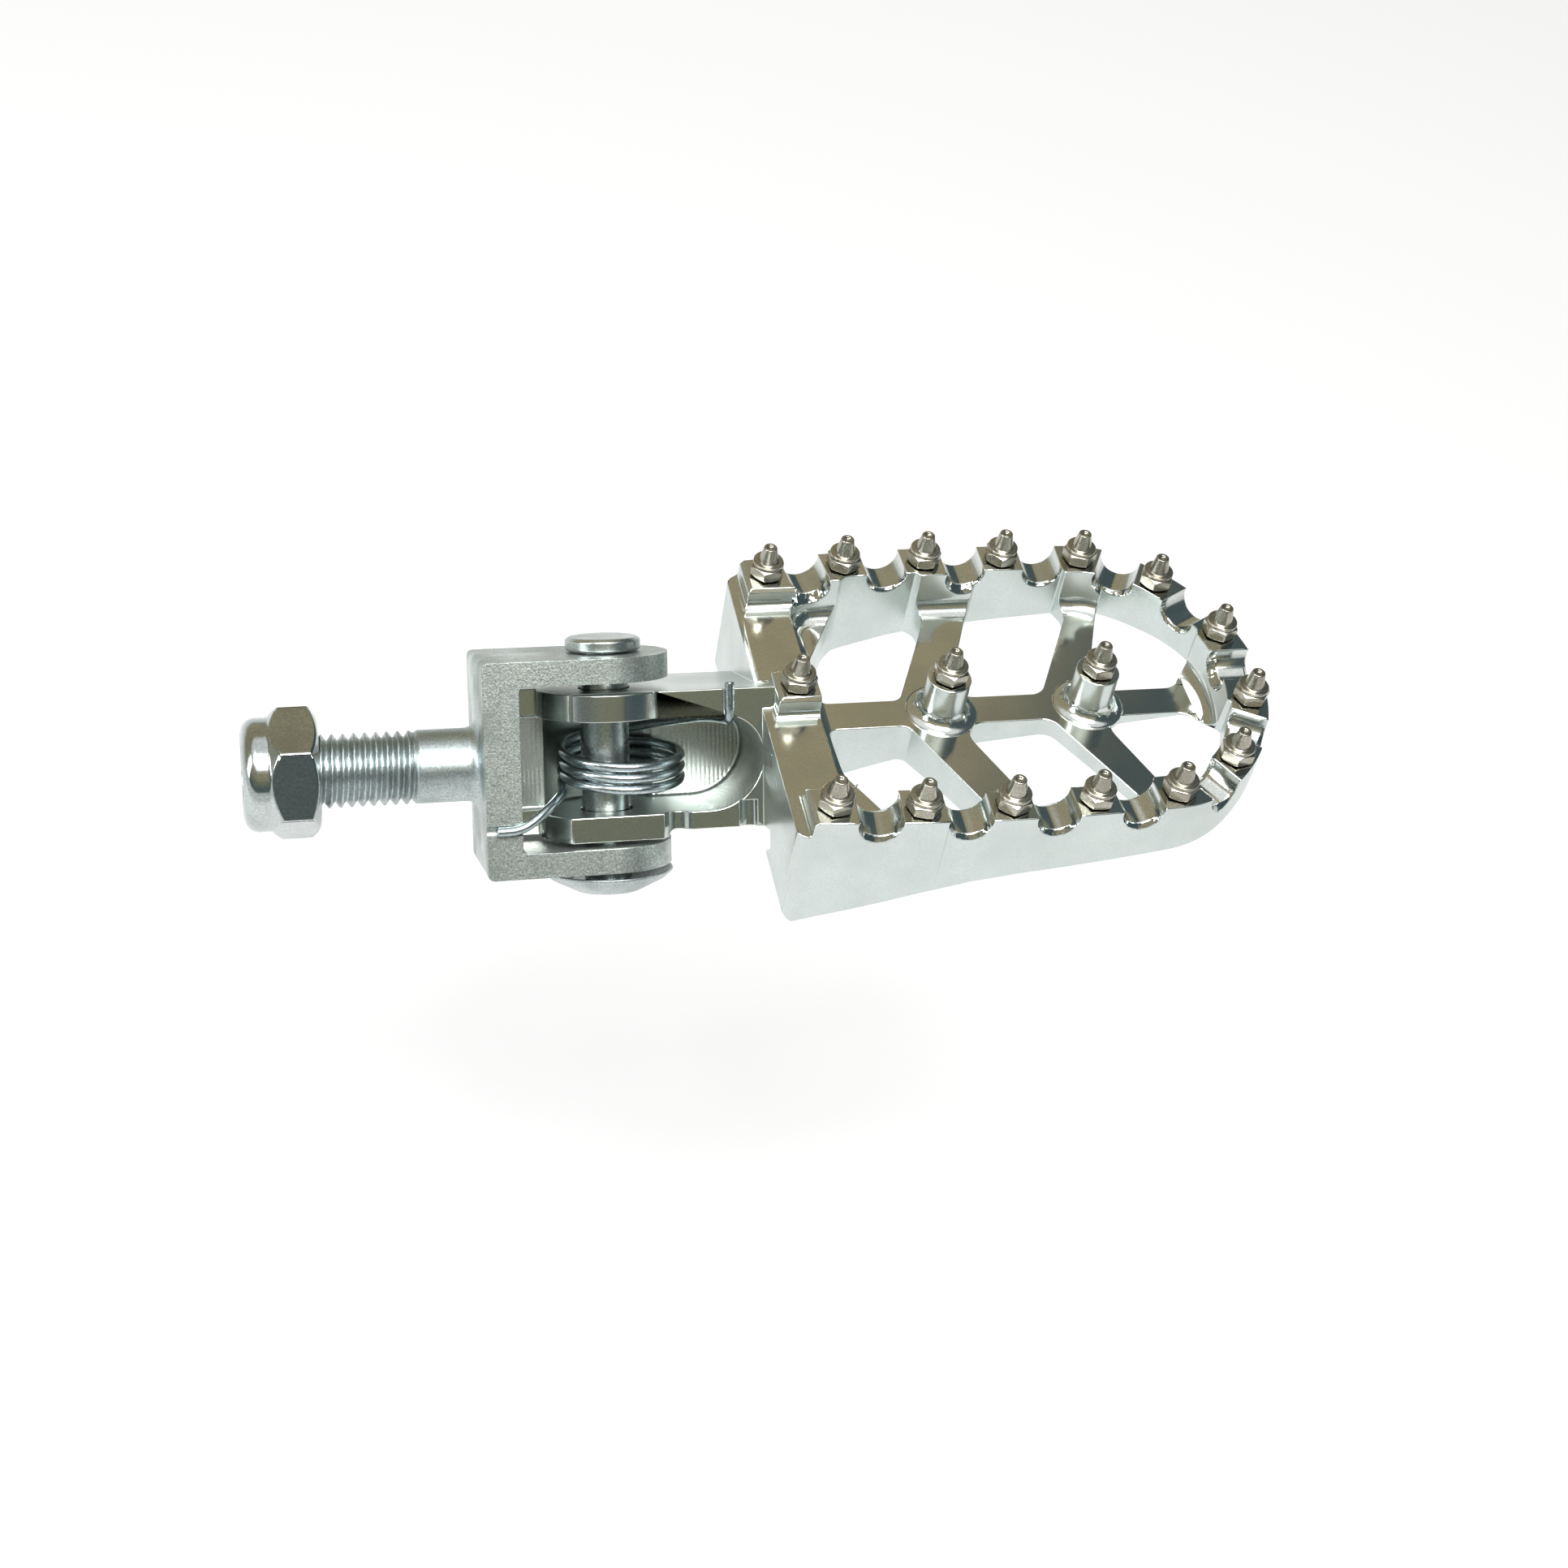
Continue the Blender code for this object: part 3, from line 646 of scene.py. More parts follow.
@dataclass
class LockNut:
    """The self-locking nut on the shank: hexagon, round collar and nylon ring."""

    face_x: float = -25.5
    across_flats: float = 19.0
    hexagon: float = 7.8
    height: float = 12.0
    collar_r: float = 9.2
    bore: float = 6.2
    turn: float = 4.9
    dome: float = 2.4

    def build(self) -> list[bpy.types.Object]:
        """Make the nut and its ring.

        Returns:
            The two pieces.
        """
        corner = self.across_flats / math.sqrt(3)
        bm = bmesh.new()
        turned = Matrix.Rotation(math.radians(self.turn), 4, "Z")
        bmesh.ops.create_cone(bm, cap_ends=True, segments=6, radius1=corner, radius2=corner,
                              depth=self.hexagon,
                              matrix=turned @ Matrix.Translation((0, 0, -self.hexagon / 2)))
        work = Workpiece(placed(bm, along_x(self.face_x)), [NUT_PLATED])
        flat = self.across_flats / 2
        tip = Sketch(0, 1).line((flat - 0.6, 1), (flat - 0.6, 0), (corner + 0.2, -1.5),
                                (corner + 0.2, -self.hexagon + 1.9))
        tip.line((flat - 0.3, -self.hexagon), (flat - 0.3, -self.hexagon - 1), (0, -self.hexagon - 1))
        work.keep(tip.spun(72, along_x(self.face_x)))
        base, shoulder = 1 - self.hexagon, self.dome - self.height
        collar = Sketch(0, base).line((self.collar_r, base), (self.collar_r, shoulder))
        collar.arc(self.collar_r - self.dome, shoulder, -90, 12).line((0, -self.height))
        work.join(collar.spun(72, along_x(self.face_x)))
        work.cut(rod(self.bore, -50, 0, 64, along_x()))
        end = self.face_x - self.height
        seat = self.bore + 1.3
        lip = Sketch(0, end - 1).line((self.bore + 0.4, end - 1), (self.bore + 0.4, end + 0.6),
                                      (seat, end + 0.6), (seat, end + 3.0), (0, end + 3.0))
        work.cut(lip.spun(64, along_x()))
        nut = work.taken()
        bmesh.ops.transform(nut, matrix=HINGE, verts=nut.verts)
        low, high, ring_r = end + 0.9, end + 2.6, seat - 0.3
        ring = Sketch(self.bore - 0.1, low).line((ring_r, low), (ring_r, high), (self.bore - 0.1, high))
        insert = ring.spun(64, HINGE @ along_x(), ring=True)
        return [settle("lock_nut_hex", nut, "bracket", ["lock_nut"], [NUT_PLATED],
                       Edging(0.25, 3, 24.0)),
                settle("lock_nut_ring", insert, "bracket", ["lock_nut_insert"], [NYLON],
                       Edging(0.2, 2))]


@dataclass
class HingePin:
    """The headed pin, its washer and its clip."""

    pin_x: float = 21.2
    radius: float = 4.0
    head_r: float = 6.2
    head: Point = (17.9, 20.2)
    end: float = -22.8
    washer: Triple = (10.8, -20.0, -18.5)
    clip: Triple = (6.0, -21.2, -20.4)
    groove_r: float = 3.1
    clip_gap: float = 40.0

    def build(self) -> list[bpy.types.Object]:
        """Make the pin, the washer and the clip.

        Returns:
            The three pieces.
        """
        place = HINGE @ along_p(self.pin_x)
        low, high = self.head
        clip_r, clip_low, clip_high = self.clip
        r, head_r, end = self.radius, self.head_r, self.end
        below, above = clip_low - 0.2, clip_high + 0.2
        pin = Sketch(0, end).line((1.6, end + 0.05), (r - 1.3, end + 0.3), (r - 0.4, end + 0.75),
                                  (r, end + 1.2), (r, below), (self.groove_r, below),
                                  (self.groove_r, above), (r, above), (r, low), (head_r - 0.3, low),
                                  (head_r, low + 0.3), (head_r, high - 0.55), (head_r - 0.55, high - 0.1),
                                  (head_r - 1.2, high), (0, high))
        radius, bottom, top = self.washer
        inner = r + 0.4
        rim, foot = bottom + 1.05, clip_low - 0.9
        disc = Sketch(inner, foot).line((clip_r - 0.4, foot), (radius - 1.1, bottom + 0.05), (radius, rim),
                                        (radius, top - 0.15), (radius - 0.3, top - 0.05),
                                        (radius - 1.2, bottom + 0.5), (clip_r + 0.3, clip_low - 0.12),
                                        (inner, clip_low - 0.4))
        gap, hold = math.radians(self.clip_gap), self.groove_r + 0.2
        sweep = 360 - 2 * self.clip_gap
        ring = Sketch(clip_r * math.cos(gap), clip_r * math.sin(gap)).arc(0, 0, sweep, 40)
        ring.line((hold * math.cos(gap), -hold * math.sin(gap))).arc(0, 0, -sweep, 32)
        clip = ring.prism(clip_low, clip_high, place)
        return [settle("hinge_pin_turned", pin.spun(72, place), "bracket", ["hinge_pin"],
                       [PIN_GROUND], Edging(0.15, 3, 30.0)),
                settle("thrust_washer", disc.spun(96, place, ring=True), "bracket",
                       ["pin_washer"], [ZINC_TURNED], Edging(0.08, 2, 30.0)),
                settle("retaining_clip", clip, "bracket", ["pin_clip"], [WIRE_DRAWN],
                       Edging(0.12, 2))]


@dataclass
class ReturnSpring:
    """The torsion spring: a coil round the pin and its two legs."""

    wire: float = 0.8
    coil_r: float = 9.9
    coil_x: float = 23.8
    turns: float = 3.25
    pitch: float = 1.85
    low: float = -4.2
    lean: float = 0.125
    start: float = 180.0
    step: float = 12.0
    lead: tuple[Triple, ...] = ((1.6, -9.5, 11.1), (3.6, -9.5, 11.1), (5.6, -9.5, 11.1), (8.2, -7.7, 10.9),
                                (11.3, -5.6, 8.9), (13.4, -4.6, 4.5))
    tail: tuple[Triple, ...] = ((28.6, 3.9, -8.3), (34.6, 5.0, -4.8), (38.6, 6.2, 0.5), (40.3, 6.2, 6.0),
                                (40.3, 6.4, 8.6), (40.3, 7.6, 9.6), (40.3, 10.2, 9.6), (40.3, 12.9, 9.6))

    def drawn(self, route: list[Triple]) -> Solid:
        """Draw round wire along a route in the hinge frame.

        Args:
            route: the points that steer it.

        Returns:
            The wire, closed at both ends.
        """
        curve = bpy.data.curves.new("wire", "CURVE")
        curve.dimensions, curve.bevel_depth, curve.bevel_resolution = "3D", self.wire, 5
        curve.use_fill_caps, curve.resolution_u = True, 3
        spline = curve.splines.new("NURBS")
        spline.points.add(len(route) - 1)
        for point, place in zip(spline.points, route):
            point.co = (*(HINGE @ Vector(place)), 1.0)
        spline.order_u, spline.use_endpoint_u = 4, True
        carrier = bpy.data.objects.new("wire", curve)
        bpy.context.collection.objects.link(carrier)
        mesh = evaluated(carrier)
        bpy.data.objects.remove(carrier)
        bm = bmesh.new()
        bm.from_mesh(mesh)
        bmesh.ops.remove_doubles(bm, verts=bm.verts, dist=0.0005)
        bmesh.ops.recalc_face_normals(bm, faces=bm.faces)
        return bm

    def build(self) -> list[bpy.types.Object]:
        """Make the spring; the leg that hooks over the ear swings with the peg, so it's a piece of its own.

        Returns:
            The coil with its fixed leg, and the swinging leg.
        """
        sweep = 360.0 * self.turns
        steps = int(sweep / self.step)
        coil = []
        for i in range(steps + 1):
            angle = math.radians(self.start + sweep * i / steps)
            n = self.coil_r * math.sin(angle)
            coil.append((self.coil_x + self.coil_r * math.cos(angle),
                         self.low + self.pitch * self.turns * i / steps - self.lean * n, n))
        fixed, swinging = self.drawn([*self.lead, *coil]), self.drawn([coil[-1], *self.tail])
        edging = Edging(0.2, 2, 60.0)
        return [settle("return_spring_wire", fixed, "bracket", ["return_spring"],
                       [WIRE_DRAWN], edging),
                settle("return_spring_leg", swinging, "peg", [], [WIRE_DRAWN], edging)]


# ---------------------------------------------------------------- the peg's side

@dataclass
class TreadOutline:
    """Plan of the tread: barrelled sides and a round tip, joined by tangent corner arcs."""

    half: float = 32.775
    side_x: float = 87.0
    side_r: float = 420.0
    tip_c: float = 98.6
    tip_r: float = 35.2
    corner_r: float = 18.0
    lead: float = 7.0

    def angles(self) -> tuple[Vector, float, float]:
        """Work out where the arcs meet.

        Returns:
            Centre of the far corner's arc, and the directions in degrees where it meets tip and side.
        """
        side_y = self.half - self.side_r
        to_tip, to_side = self.tip_r - self.corner_r, self.side_r - self.corner_r
        gap = Vector((self.side_x - self.tip_c, side_y))
        along = (to_tip ** 2 - to_side ** 2 + gap.length ** 2) / (2 * gap.length)
        unit = gap.normalized()
        across = Vector((-unit.y, unit.x)) * math.sqrt(to_tip ** 2 - along ** 2)
        corner = Vector((self.tip_c, 0)) + unit * along + across
        if corner.x < self.tip_c:
            corner -= 2 * across
        corner.y = abs(corner.y)
        return (corner, math.degrees(math.atan2(corner.y, corner.x - self.tip_c)),
                math.degrees(math.atan2(corner.y - side_y, corner.x - self.side_x)))

    def sketch(self, inset: float, start: float) -> Sketch:
        """Draw the plan.

        Args:
            inset: how far inside the full outline, mm.
            start: x where the sides start.

        Returns:
            The open outline, whose last side crosses from one side to the other at start.
        """
        corner, at_tip, at_side = self.angles()
        centre_y = self.side_r - self.half
        radius = self.side_r - inset
        first, second = (Vector((x, centre_y - math.sqrt(radius ** 2 - (x - self.side_x) ** 2)))
                         for x in (start, start + self.lead))
        begin = math.degrees(math.atan2(second.y - centre_y, second.x - self.side_x))
        draw = Sketch(*first).line(second).arc(self.side_x, centre_y, -at_side - begin, 20)
        draw.arc(corner.x, -corner.y, at_side - at_tip, 20).arc(self.tip_c, 0, 2 * at_tip, 56)
        draw.arc(corner.x, corner.y, at_side - at_tip, 20)
        return draw.arc(self.side_x, -centre_y, -at_side - begin, 20).line((first.x, -first.y))


PEG_FINISHES = [FACE_MILLED, SIDE_MILLED_PAINTED_SHADE, BALL_MILLED, CUSP_MILLED, CHANNEL_MILLED_PAINTED_SHADE]
FLAT, UPRIGHT, CURVED, CUSPED, ROUGHED = range(len(PEG_FINISHES))


@dataclass
class PegBody:
    """The milled peg: tread, windows, pads and posts, with the hinge lug on its end."""

    outline: TreadOutline = field(default_factory=TreadOutline)
    pad_z: float = 15.0
    web_z: float = 7.0
    flat_z: float = 11.6
    end_x: float = 46.0
    pocket_x: float = 55.4
    rim: float = 7.2
    cut_rim: float = 6.4
    cove: float = 2.8
    pocket_corner: float = 5.0
    end_corner: float = 2.2
    scallop_r: float = 3.6
    inner_fall: float = 0.9
    breakout: Point = (1.4, 0.8)
    overrun: float = 1.5
    skirt: tuple[Point, ...] = ((52.0, -7.0), (60.0, -4.5), (68.0, -1.8), (76.0, 0.5), (84.0, 1.9),
                                (97.0, 3.4), (110.0, 4.9), (120.0, 6.2), (129.0, 8.2), (135.0, 10.5))
    skirt_foot: float = -8.6
    pad_step_x: Point = (48.2, 1.0)
    pad_step_y: tuple[Point, ...] = ((3.7, 1.4), (23.0, 1.6))
    pad_chamfer: float = 0.7
    post_r: float = 3.7
    post_foot: float = 2.4
    windows: tuple = (
        ((57.6, 3.1, 1.5), (71.6, 3.1, 2.0), (81.6, 24.5, 4.0), (77.0, 27.5, 5.0), (65.5, 27.0, 8.0),
         (58.0, 13.5, 5.0)),
        ((80.2, 3.1, 3.4), (97.2, 3.1, 3.0), (107.3, 22.5, 3.0), (105.5, 27.5, 3.0), (90.5, 27.5, 4.0)),
        ((105.7, 3.1, 3.4), (121.6, 3.1, 3.0), (126.6, 9.5, 5.0), (124.0, 23.0, 8.0), (115.0, 27.5, 3.0)))
    pin_x: float = 21.2
    heel_x: float = 6.2
    heel_top: float = -1.5
    heel_seat: float = -2.3
    eye_r: float = 11.15
    ear_near: Point = (-12.7, -8.5)
    ear_far: Point = (7.3, 11.7)
    ear_top: float = 8.6
    belly: float = -14.2
    root_x: float = 33.0
    trough: Triple = (22.6, -0.2, 11.5)
    trough_x: float = 46.15
    trough_floor: float = -8.5
    trough_corner: Point = (9.0, 7.0)
    trough_fillet: float = 2.4
    lug_bore: float = 4.35
    hole: Point = (2.3, 5.4)
    rim_studs: int = 14

    def stud_points(self) -> list[Vector]:
        """Return the middle of each stud node's foot in mm, in the order of their names."""
        points = []
        for name in sorted(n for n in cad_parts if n.startswith("stud_")):
            low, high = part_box(name)
            points.append(Vector(((low.x + high.x) / 2 / MM, (low.y + high.y) / 2 / MM, self.pad_z)))
        return points

    def blank(self) -> Workpiece:
        """Return the tread's outer shape: its plan kept within its side view."""
        solid = self.outline.sketch(0.0, self.end_x).prism(-12, self.pad_z)
        y = max(v.co.y for v in solid.verts if v.co.x < self.end_x + 0.01)
        round_uprights(solid, [(self.end_x, y, self.end_corner), (self.end_x, -y, self.end_corner)])
        work = Workpiece(solid, PEG_FINISHES)
        x = self.end_x - 0.02
        r = self.end_corner
        side = Sketch(x, self.pad_z + 3).line((x, self.skirt_foot + r))
        side.arc(x + r, self.skirt_foot + r, 75, 8)
        side.line(*self.skirt, (self.skirt[-1][0] + 3, self.pad_z + 3))
        return work.keep(side.side_prism(-40, 40))

    def pocket(self) -> Solid:
        """Return the space over the web, with a cove round its floor."""
        bm = self.outline.sketch(self.rim, self.pocket_x).prism(self.web_z, self.pad_z + 5)
        y = max(v.co.y for v in bm.verts if v.co.x < self.pocket_x + 0.01)
        r = self.pocket_corner
        round_uprights(bm, [(self.pocket_x, y, r), (self.pocket_x, -y, r)], 10)
        floor = [e for e in bm.edges if all(abs(v.co.z - self.web_z) < 1e-3 for v in e.verts)]
        round_edges(bm, floor, self.cove, 8)
        bmesh.ops.remove_doubles(bm, verts=bm.verts, dist=0.02)
        bmesh.ops.dissolve_degenerate(bm, edges=bm.edges, dist=0.02)
        return bm

    def window(self, corners: tuple, mirror: int) -> Solid:
        """Return one window's solid, which stops at the rim."""
        drawn = [(x, y * mirror, r) for x, y, r in corners]
        bm = Sketch(*drawn[0][:2]).line(*(c[:2] for c in drawn[1:])).prism(-20, self.pad_z + 3)
        work = Workpiece(round_uprights(bm, drawn), [FACE_MILLED, SIDE_MILLED_PAINTED_SHADE])
        work.keep(self.outline.sketch(self.cut_rim, self.pocket_x - 5).prism(-30, self.pad_z + 10))
        return work.taken()

    def hinge_wall(self) -> list[Solid]:
        """Return the cuts that leave the pads standing on the hinge-end wall."""
        tools = []
        (near, near_r), (far, far_r) = self.pad_step_y
        c, z = self.pad_chamfer, self.flat_z
        for mirror in (1, -1):
            draw = Sketch((near + near_r) * mirror, z).line(((far - far_r) * mirror, z))
            draw.arc((far - far_r) * mirror, z + far_r, 90 * mirror, 8)
            draw.line((far * mirror, self.pad_z - c), ((far + c + 3) * mirror, self.pad_z + 3),
                      ((near - c - 3) * mirror, self.pad_z + 3), (near * mirror, self.pad_z - c),
                      (near * mirror, z + near_r))
            draw.arc((near + near_r) * mirror, z + near_r, 90 * mirror, 7)
            turn = Matrix.Rotation(math.radians(90), 4, "Z") @ Matrix.Rotation(math.radians(90), 4, "X")
            tools.append(draw.prism(self.end_x - 4, self.pocket_x + 1.2, turn))
        edge, cove = self.pad_step_x
        draw = Sketch(self.end_x - 4, z).line((edge - cove, z))
        draw.arc(edge - cove, z + cove, 90, 7)
        draw.line((edge, self.pad_z - c), (edge + c + 3, self.pad_z + 3), (self.end_x - 4, self.pad_z + 3))
        tools.append(draw.side_prism(-45, 45))
        return tools

    def scallops(self, points: list[Vector]) -> list[Solid]:
        """Return the half-round cuts between studs, dropped where the ball mill breaks out of the rim."""
        tools = []
        r = self.scallop_r
        inner, outer = self.breakout
        for before, after in zip(points, points[1:]):
            middle = (before + after) / 2
            along = math.atan2(after.y - before.y, after.x - before.x)
            place = Matrix.Translation(middle) @ Matrix.Rotation(along, 4, "Z")
            place = place @ Matrix.Rotation(math.radians(90), 4, "X")
            out, back = self.reach(middle)
            low, high = -back - self.overrun, out + self.overrun
            draw = Sketch(0, low).line((r, low), (r, inner - back), (r, out - outer), (r, high), (0, high))
            tool = draw.spun(56)
            for vert in tool.verts:
                past = max(0.0, inner - back - vert.co.z, vert.co.z - out + outer)
                vert.co.y -= past * (1.0 if vert.co.z > 0 else self.inner_fall)
            for face in tool.faces:
                middle_z = face.calc_center_median().z
                if middle_z < inner - back or middle_z > out - outer:
                    face.material_index = CUSPED
            tools.append(placed(tool, place))
        return tools

    def reach(self, middle: Vector) -> Point:
        """Return how far the rim's outer and inner faces are from a point on the studs' line."""
        corner, at_tip, _ = self.outline.angles()
        flank = Vector((middle.x, abs(middle.y)))
        tip = flank - Vector((self.outline.tip_c, 0))
        angle = math.degrees(math.atan2(tip.y, tip.x))
        if angle < at_tip:
            inside = self.outline.tip_r - tip.length
        elif flank.x > corner.x:
            inside = self.outline.corner_r - (flank - corner).length
        else:
            centre = Vector((self.outline.side_x, self.outline.half - self.outline.side_r))
            inside = self.outline.side_r - (flank - centre).length
        return inside + 0.02, self.rim - inside + 0.02

    def posts(self, xs: list[float]) -> Solid:
        """Return the posts on the web, each with a cove round its foot."""
        tools = []
        for x in xs:
            foot = self.post_foot
            draw = Sketch(0, self.web_z - 1).line((self.post_r + foot, self.web_z - 1),
                                                  (self.post_r + foot, self.web_z + 0.05))
            draw.arc(self.post_r + foot, self.web_z + 0.05 + foot, -90, 12)
            draw.line((self.post_r, self.pad_z), (0, self.pad_z))
            tools.append(draw.spun(72, Matrix.Translation((x, 0, 0))))
        return gathered(tools)

    def lug(self) -> Solid:
        """Return the lug's blank, which fades into the end wall."""
        nose = math.degrees(math.asin(self.ear_top / self.eye_r))
        heel = math.degrees(math.asin(self.heel_top / self.eye_r))
        nose_x = self.pin_x - self.eye_r * math.cos(math.radians(nose))
        draw = Sketch(self.root_x, self.belly).line((self.root_x, self.ear_top), (nose_x, self.ear_top))
        draw.arc(self.pin_x, 0, nose - heel, 24)
        draw.line((self.heel_x, self.heel_top), (self.heel_x, self.belly + 2), (self.heel_x + 2, self.belly))
        bm = draw.side_prism(self.ear_near[0], self.ear_far[1], HINGE)
        end = [f for f in bm.faces if all(abs(v.co.x - self.root_x) < 0.01 for v in f.verts)]
        grown = bmesh.ops.extrude_face_region(bm, geom=end)["geom"]
        bmesh.ops.delete(bm, geom=end, context="FACES_ONLY")
        for vert in (v for v in grown if isinstance(v, bmesh.types.BMVert)):
            vert.co.x = self.end_x + 3.0
            vert.co.z = max(vert.co.z, -7.4)
        return placed(bm, None)

    def eye(self) -> Solid:
        """Return the round end of the far ear."""
        low, high = self.ear_far[0] - 2, self.ear_far[1] - 0.02
        place = HINGE @ along_p(self.pin_x) @ Matrix.Rotation(0.03, 4, "Z")
        return rod(self.eye_r - 0.02, low, high, 96, place)

    def channel(self) -> Solid:
        """Return the space milled between the ears: a trough round the coil and a floor to the root."""
        x, n, r = self.trough
        left = math.degrees(math.asin((self.heel_seat - n) / r))
        right = math.degrees(math.asin((self.trough_floor - n) / r))
        begin = 180 - left
        meet = x + r * math.cos(math.radians(begin))
        draw = Sketch(self.heel_x - 3, self.ear_top + 6)
        draw.line((self.heel_x - 3, self.heel_seat), (meet, self.heel_seat))
        draw.arc(x, n, 360 + right - begin, 48)
        draw.line((self.trough_x, self.trough_floor), (self.trough_x, self.ear_top + 6))
        near, far = self.ear_near[1], self.ear_far[0]
        work = Workpiece(draw.side_prism(near - 1, far + 1), [CHANNEL_MILLED_PAINTED_SHADE])
        plan = Sketch(-9, near).line((self.trough_x - 0.01, near), (self.trough_x - 0.01, far), (-9, far))
        near_r, far_r = self.trough_corner
        corners = [(self.trough_x, near, near_r), (self.trough_x, far, far_r)]
        work.keep(round_uprights(plan.prism(-30, 40), corners, 12))
        bm = work.taken()
        bmesh.ops.dissolve_limit(bm, angle_limit=0.01, verts=bm.verts, edges=bm.edges)
        foot = [e for e in bm.edges if e.is_manifold and e.calc_face_angle() > math.radians(60)
                and min(abs(f.normal.z) for f in e.link_faces) < 0.02
                and min(f.normal.z for f in e.link_faces) < -0.1]
        round_edges(bm, foot, self.trough_fillet, 6)
        bmesh.ops.transform(bm, matrix=HINGE, verts=bm.verts)
        return bm

    def near_ear(self) -> list[Solid]:
        """Return the cuts along the near ear: two scallops, a land between, and a thinner root."""
        top, land = self.ear_top, self.ear_top - 0.5
        draw = Sketch(29.3, top + 4).line((29.3, top))
        draw.arc(31.6, top + 0.5, 130, 12).line((34.2, land), (42.0, land))
        draw.arc(43.5, land + 0.9, 110, 12).line((45.4, top + 4))
        outer = self.ear_near[0]
        scallops = draw.side_prism(outer - 2, self.ear_near[1] + 1.5, HINGE)
        flank = Sketch(30.4, outer - 3).line((30.4, outer))
        flank.arc(31.6, outer, -90, 8).line((60.0, outer + 1.2), (60.0, outer - 3))
        return [scallops, flank.prism(-1.0, top + 4, HINGE)]

    def build(self) -> list[bpy.types.Object]:
        """Machine the peg from its blank and dress its faces.

        Returns:
            The piece.
        """
        studs = self.stud_points()
        on_rim, inner = studs[:self.rim_studs], studs[self.rim_studs:]
        work = self.blank()
        work.cut(self.pocket())
        work.cut(gathered(self.window(w, m) for m in (1, -1) for w in self.windows))
        for tool in (*self.hinge_wall(), *self.scallops(on_rim)):
            work.cut(tool)
        work.join(self.posts([p.x for p in inner if p.x > self.pocket_x]))
        for solid in (self.lug(), self.eye()):
            work.join(solid)
        for tool in (self.channel(), *self.near_ear()):
            work.cut(tool)
        work.cut(rod(self.lug_bore, -30, 30, 56, HINGE @ along_p(self.pin_x)))
        r, deep = self.hole
        work.cut(gathered(rod(r, -deep, 3, 24, Matrix.Translation(p)) for p in studs))
        bm = work.taken()
        bmesh.ops.dissolve_limit(bm, angle_limit=math.radians(0.15), verts=bm.verts, edges=bm.edges,
                                 delimit={"MATERIAL"})
        # Split into triangles, a level face with many corners takes even light.
        level = [f for f in bm.faces if len(f.verts) > 4 and abs(f.normal.z) > 0.9]
        bmesh.ops.triangulate(bm, faces=level, ngon_method="BEAUTY")
        self.dress(bm)
        return [settle("peg_body_milled", bm, "peg", ["peg_body"],
                       PEG_FINISHES, Edging(0.14, 2, 38.0))]

    def dress(self, bm: Solid) -> None:
        """Give each face the finish of the cut that made it, by the way it faces; the upright and channel
        finishes also carry painted shade in their colours.
        """
        near, far = self.ear_near[1] + 0.05, self.ear_far[0] - 0.05
        for face in bm.faces:
            if face.material_index == CUSPED:
                continue
            middle = HINGE.inverted() @ face.calc_center_median()
            lug = middle.x < self.end_x + 0.2
            rise = face.normal.dot(N_AXIS) if lug else face.normal.z
            # Faces in the channel take a darker grey: painted shade between the ears, on a real roughed
            # finish.
            if (lug and near < middle.y < far and middle.z < self.ear_top - 0.5
                    and middle.x > self.heel_x + 0.1):
                face.material_index = ROUGHED
            elif rise > 0.99:
                face.material_index = FLAT
            # Upright faces take a darker, bluer colour than level ones: painted shade and reflection, on a
            # real side-milled finish.
            elif abs(rise) < 0.12:
                face.material_index = UPRIGHT
            else:
                face.material_index = CURVED


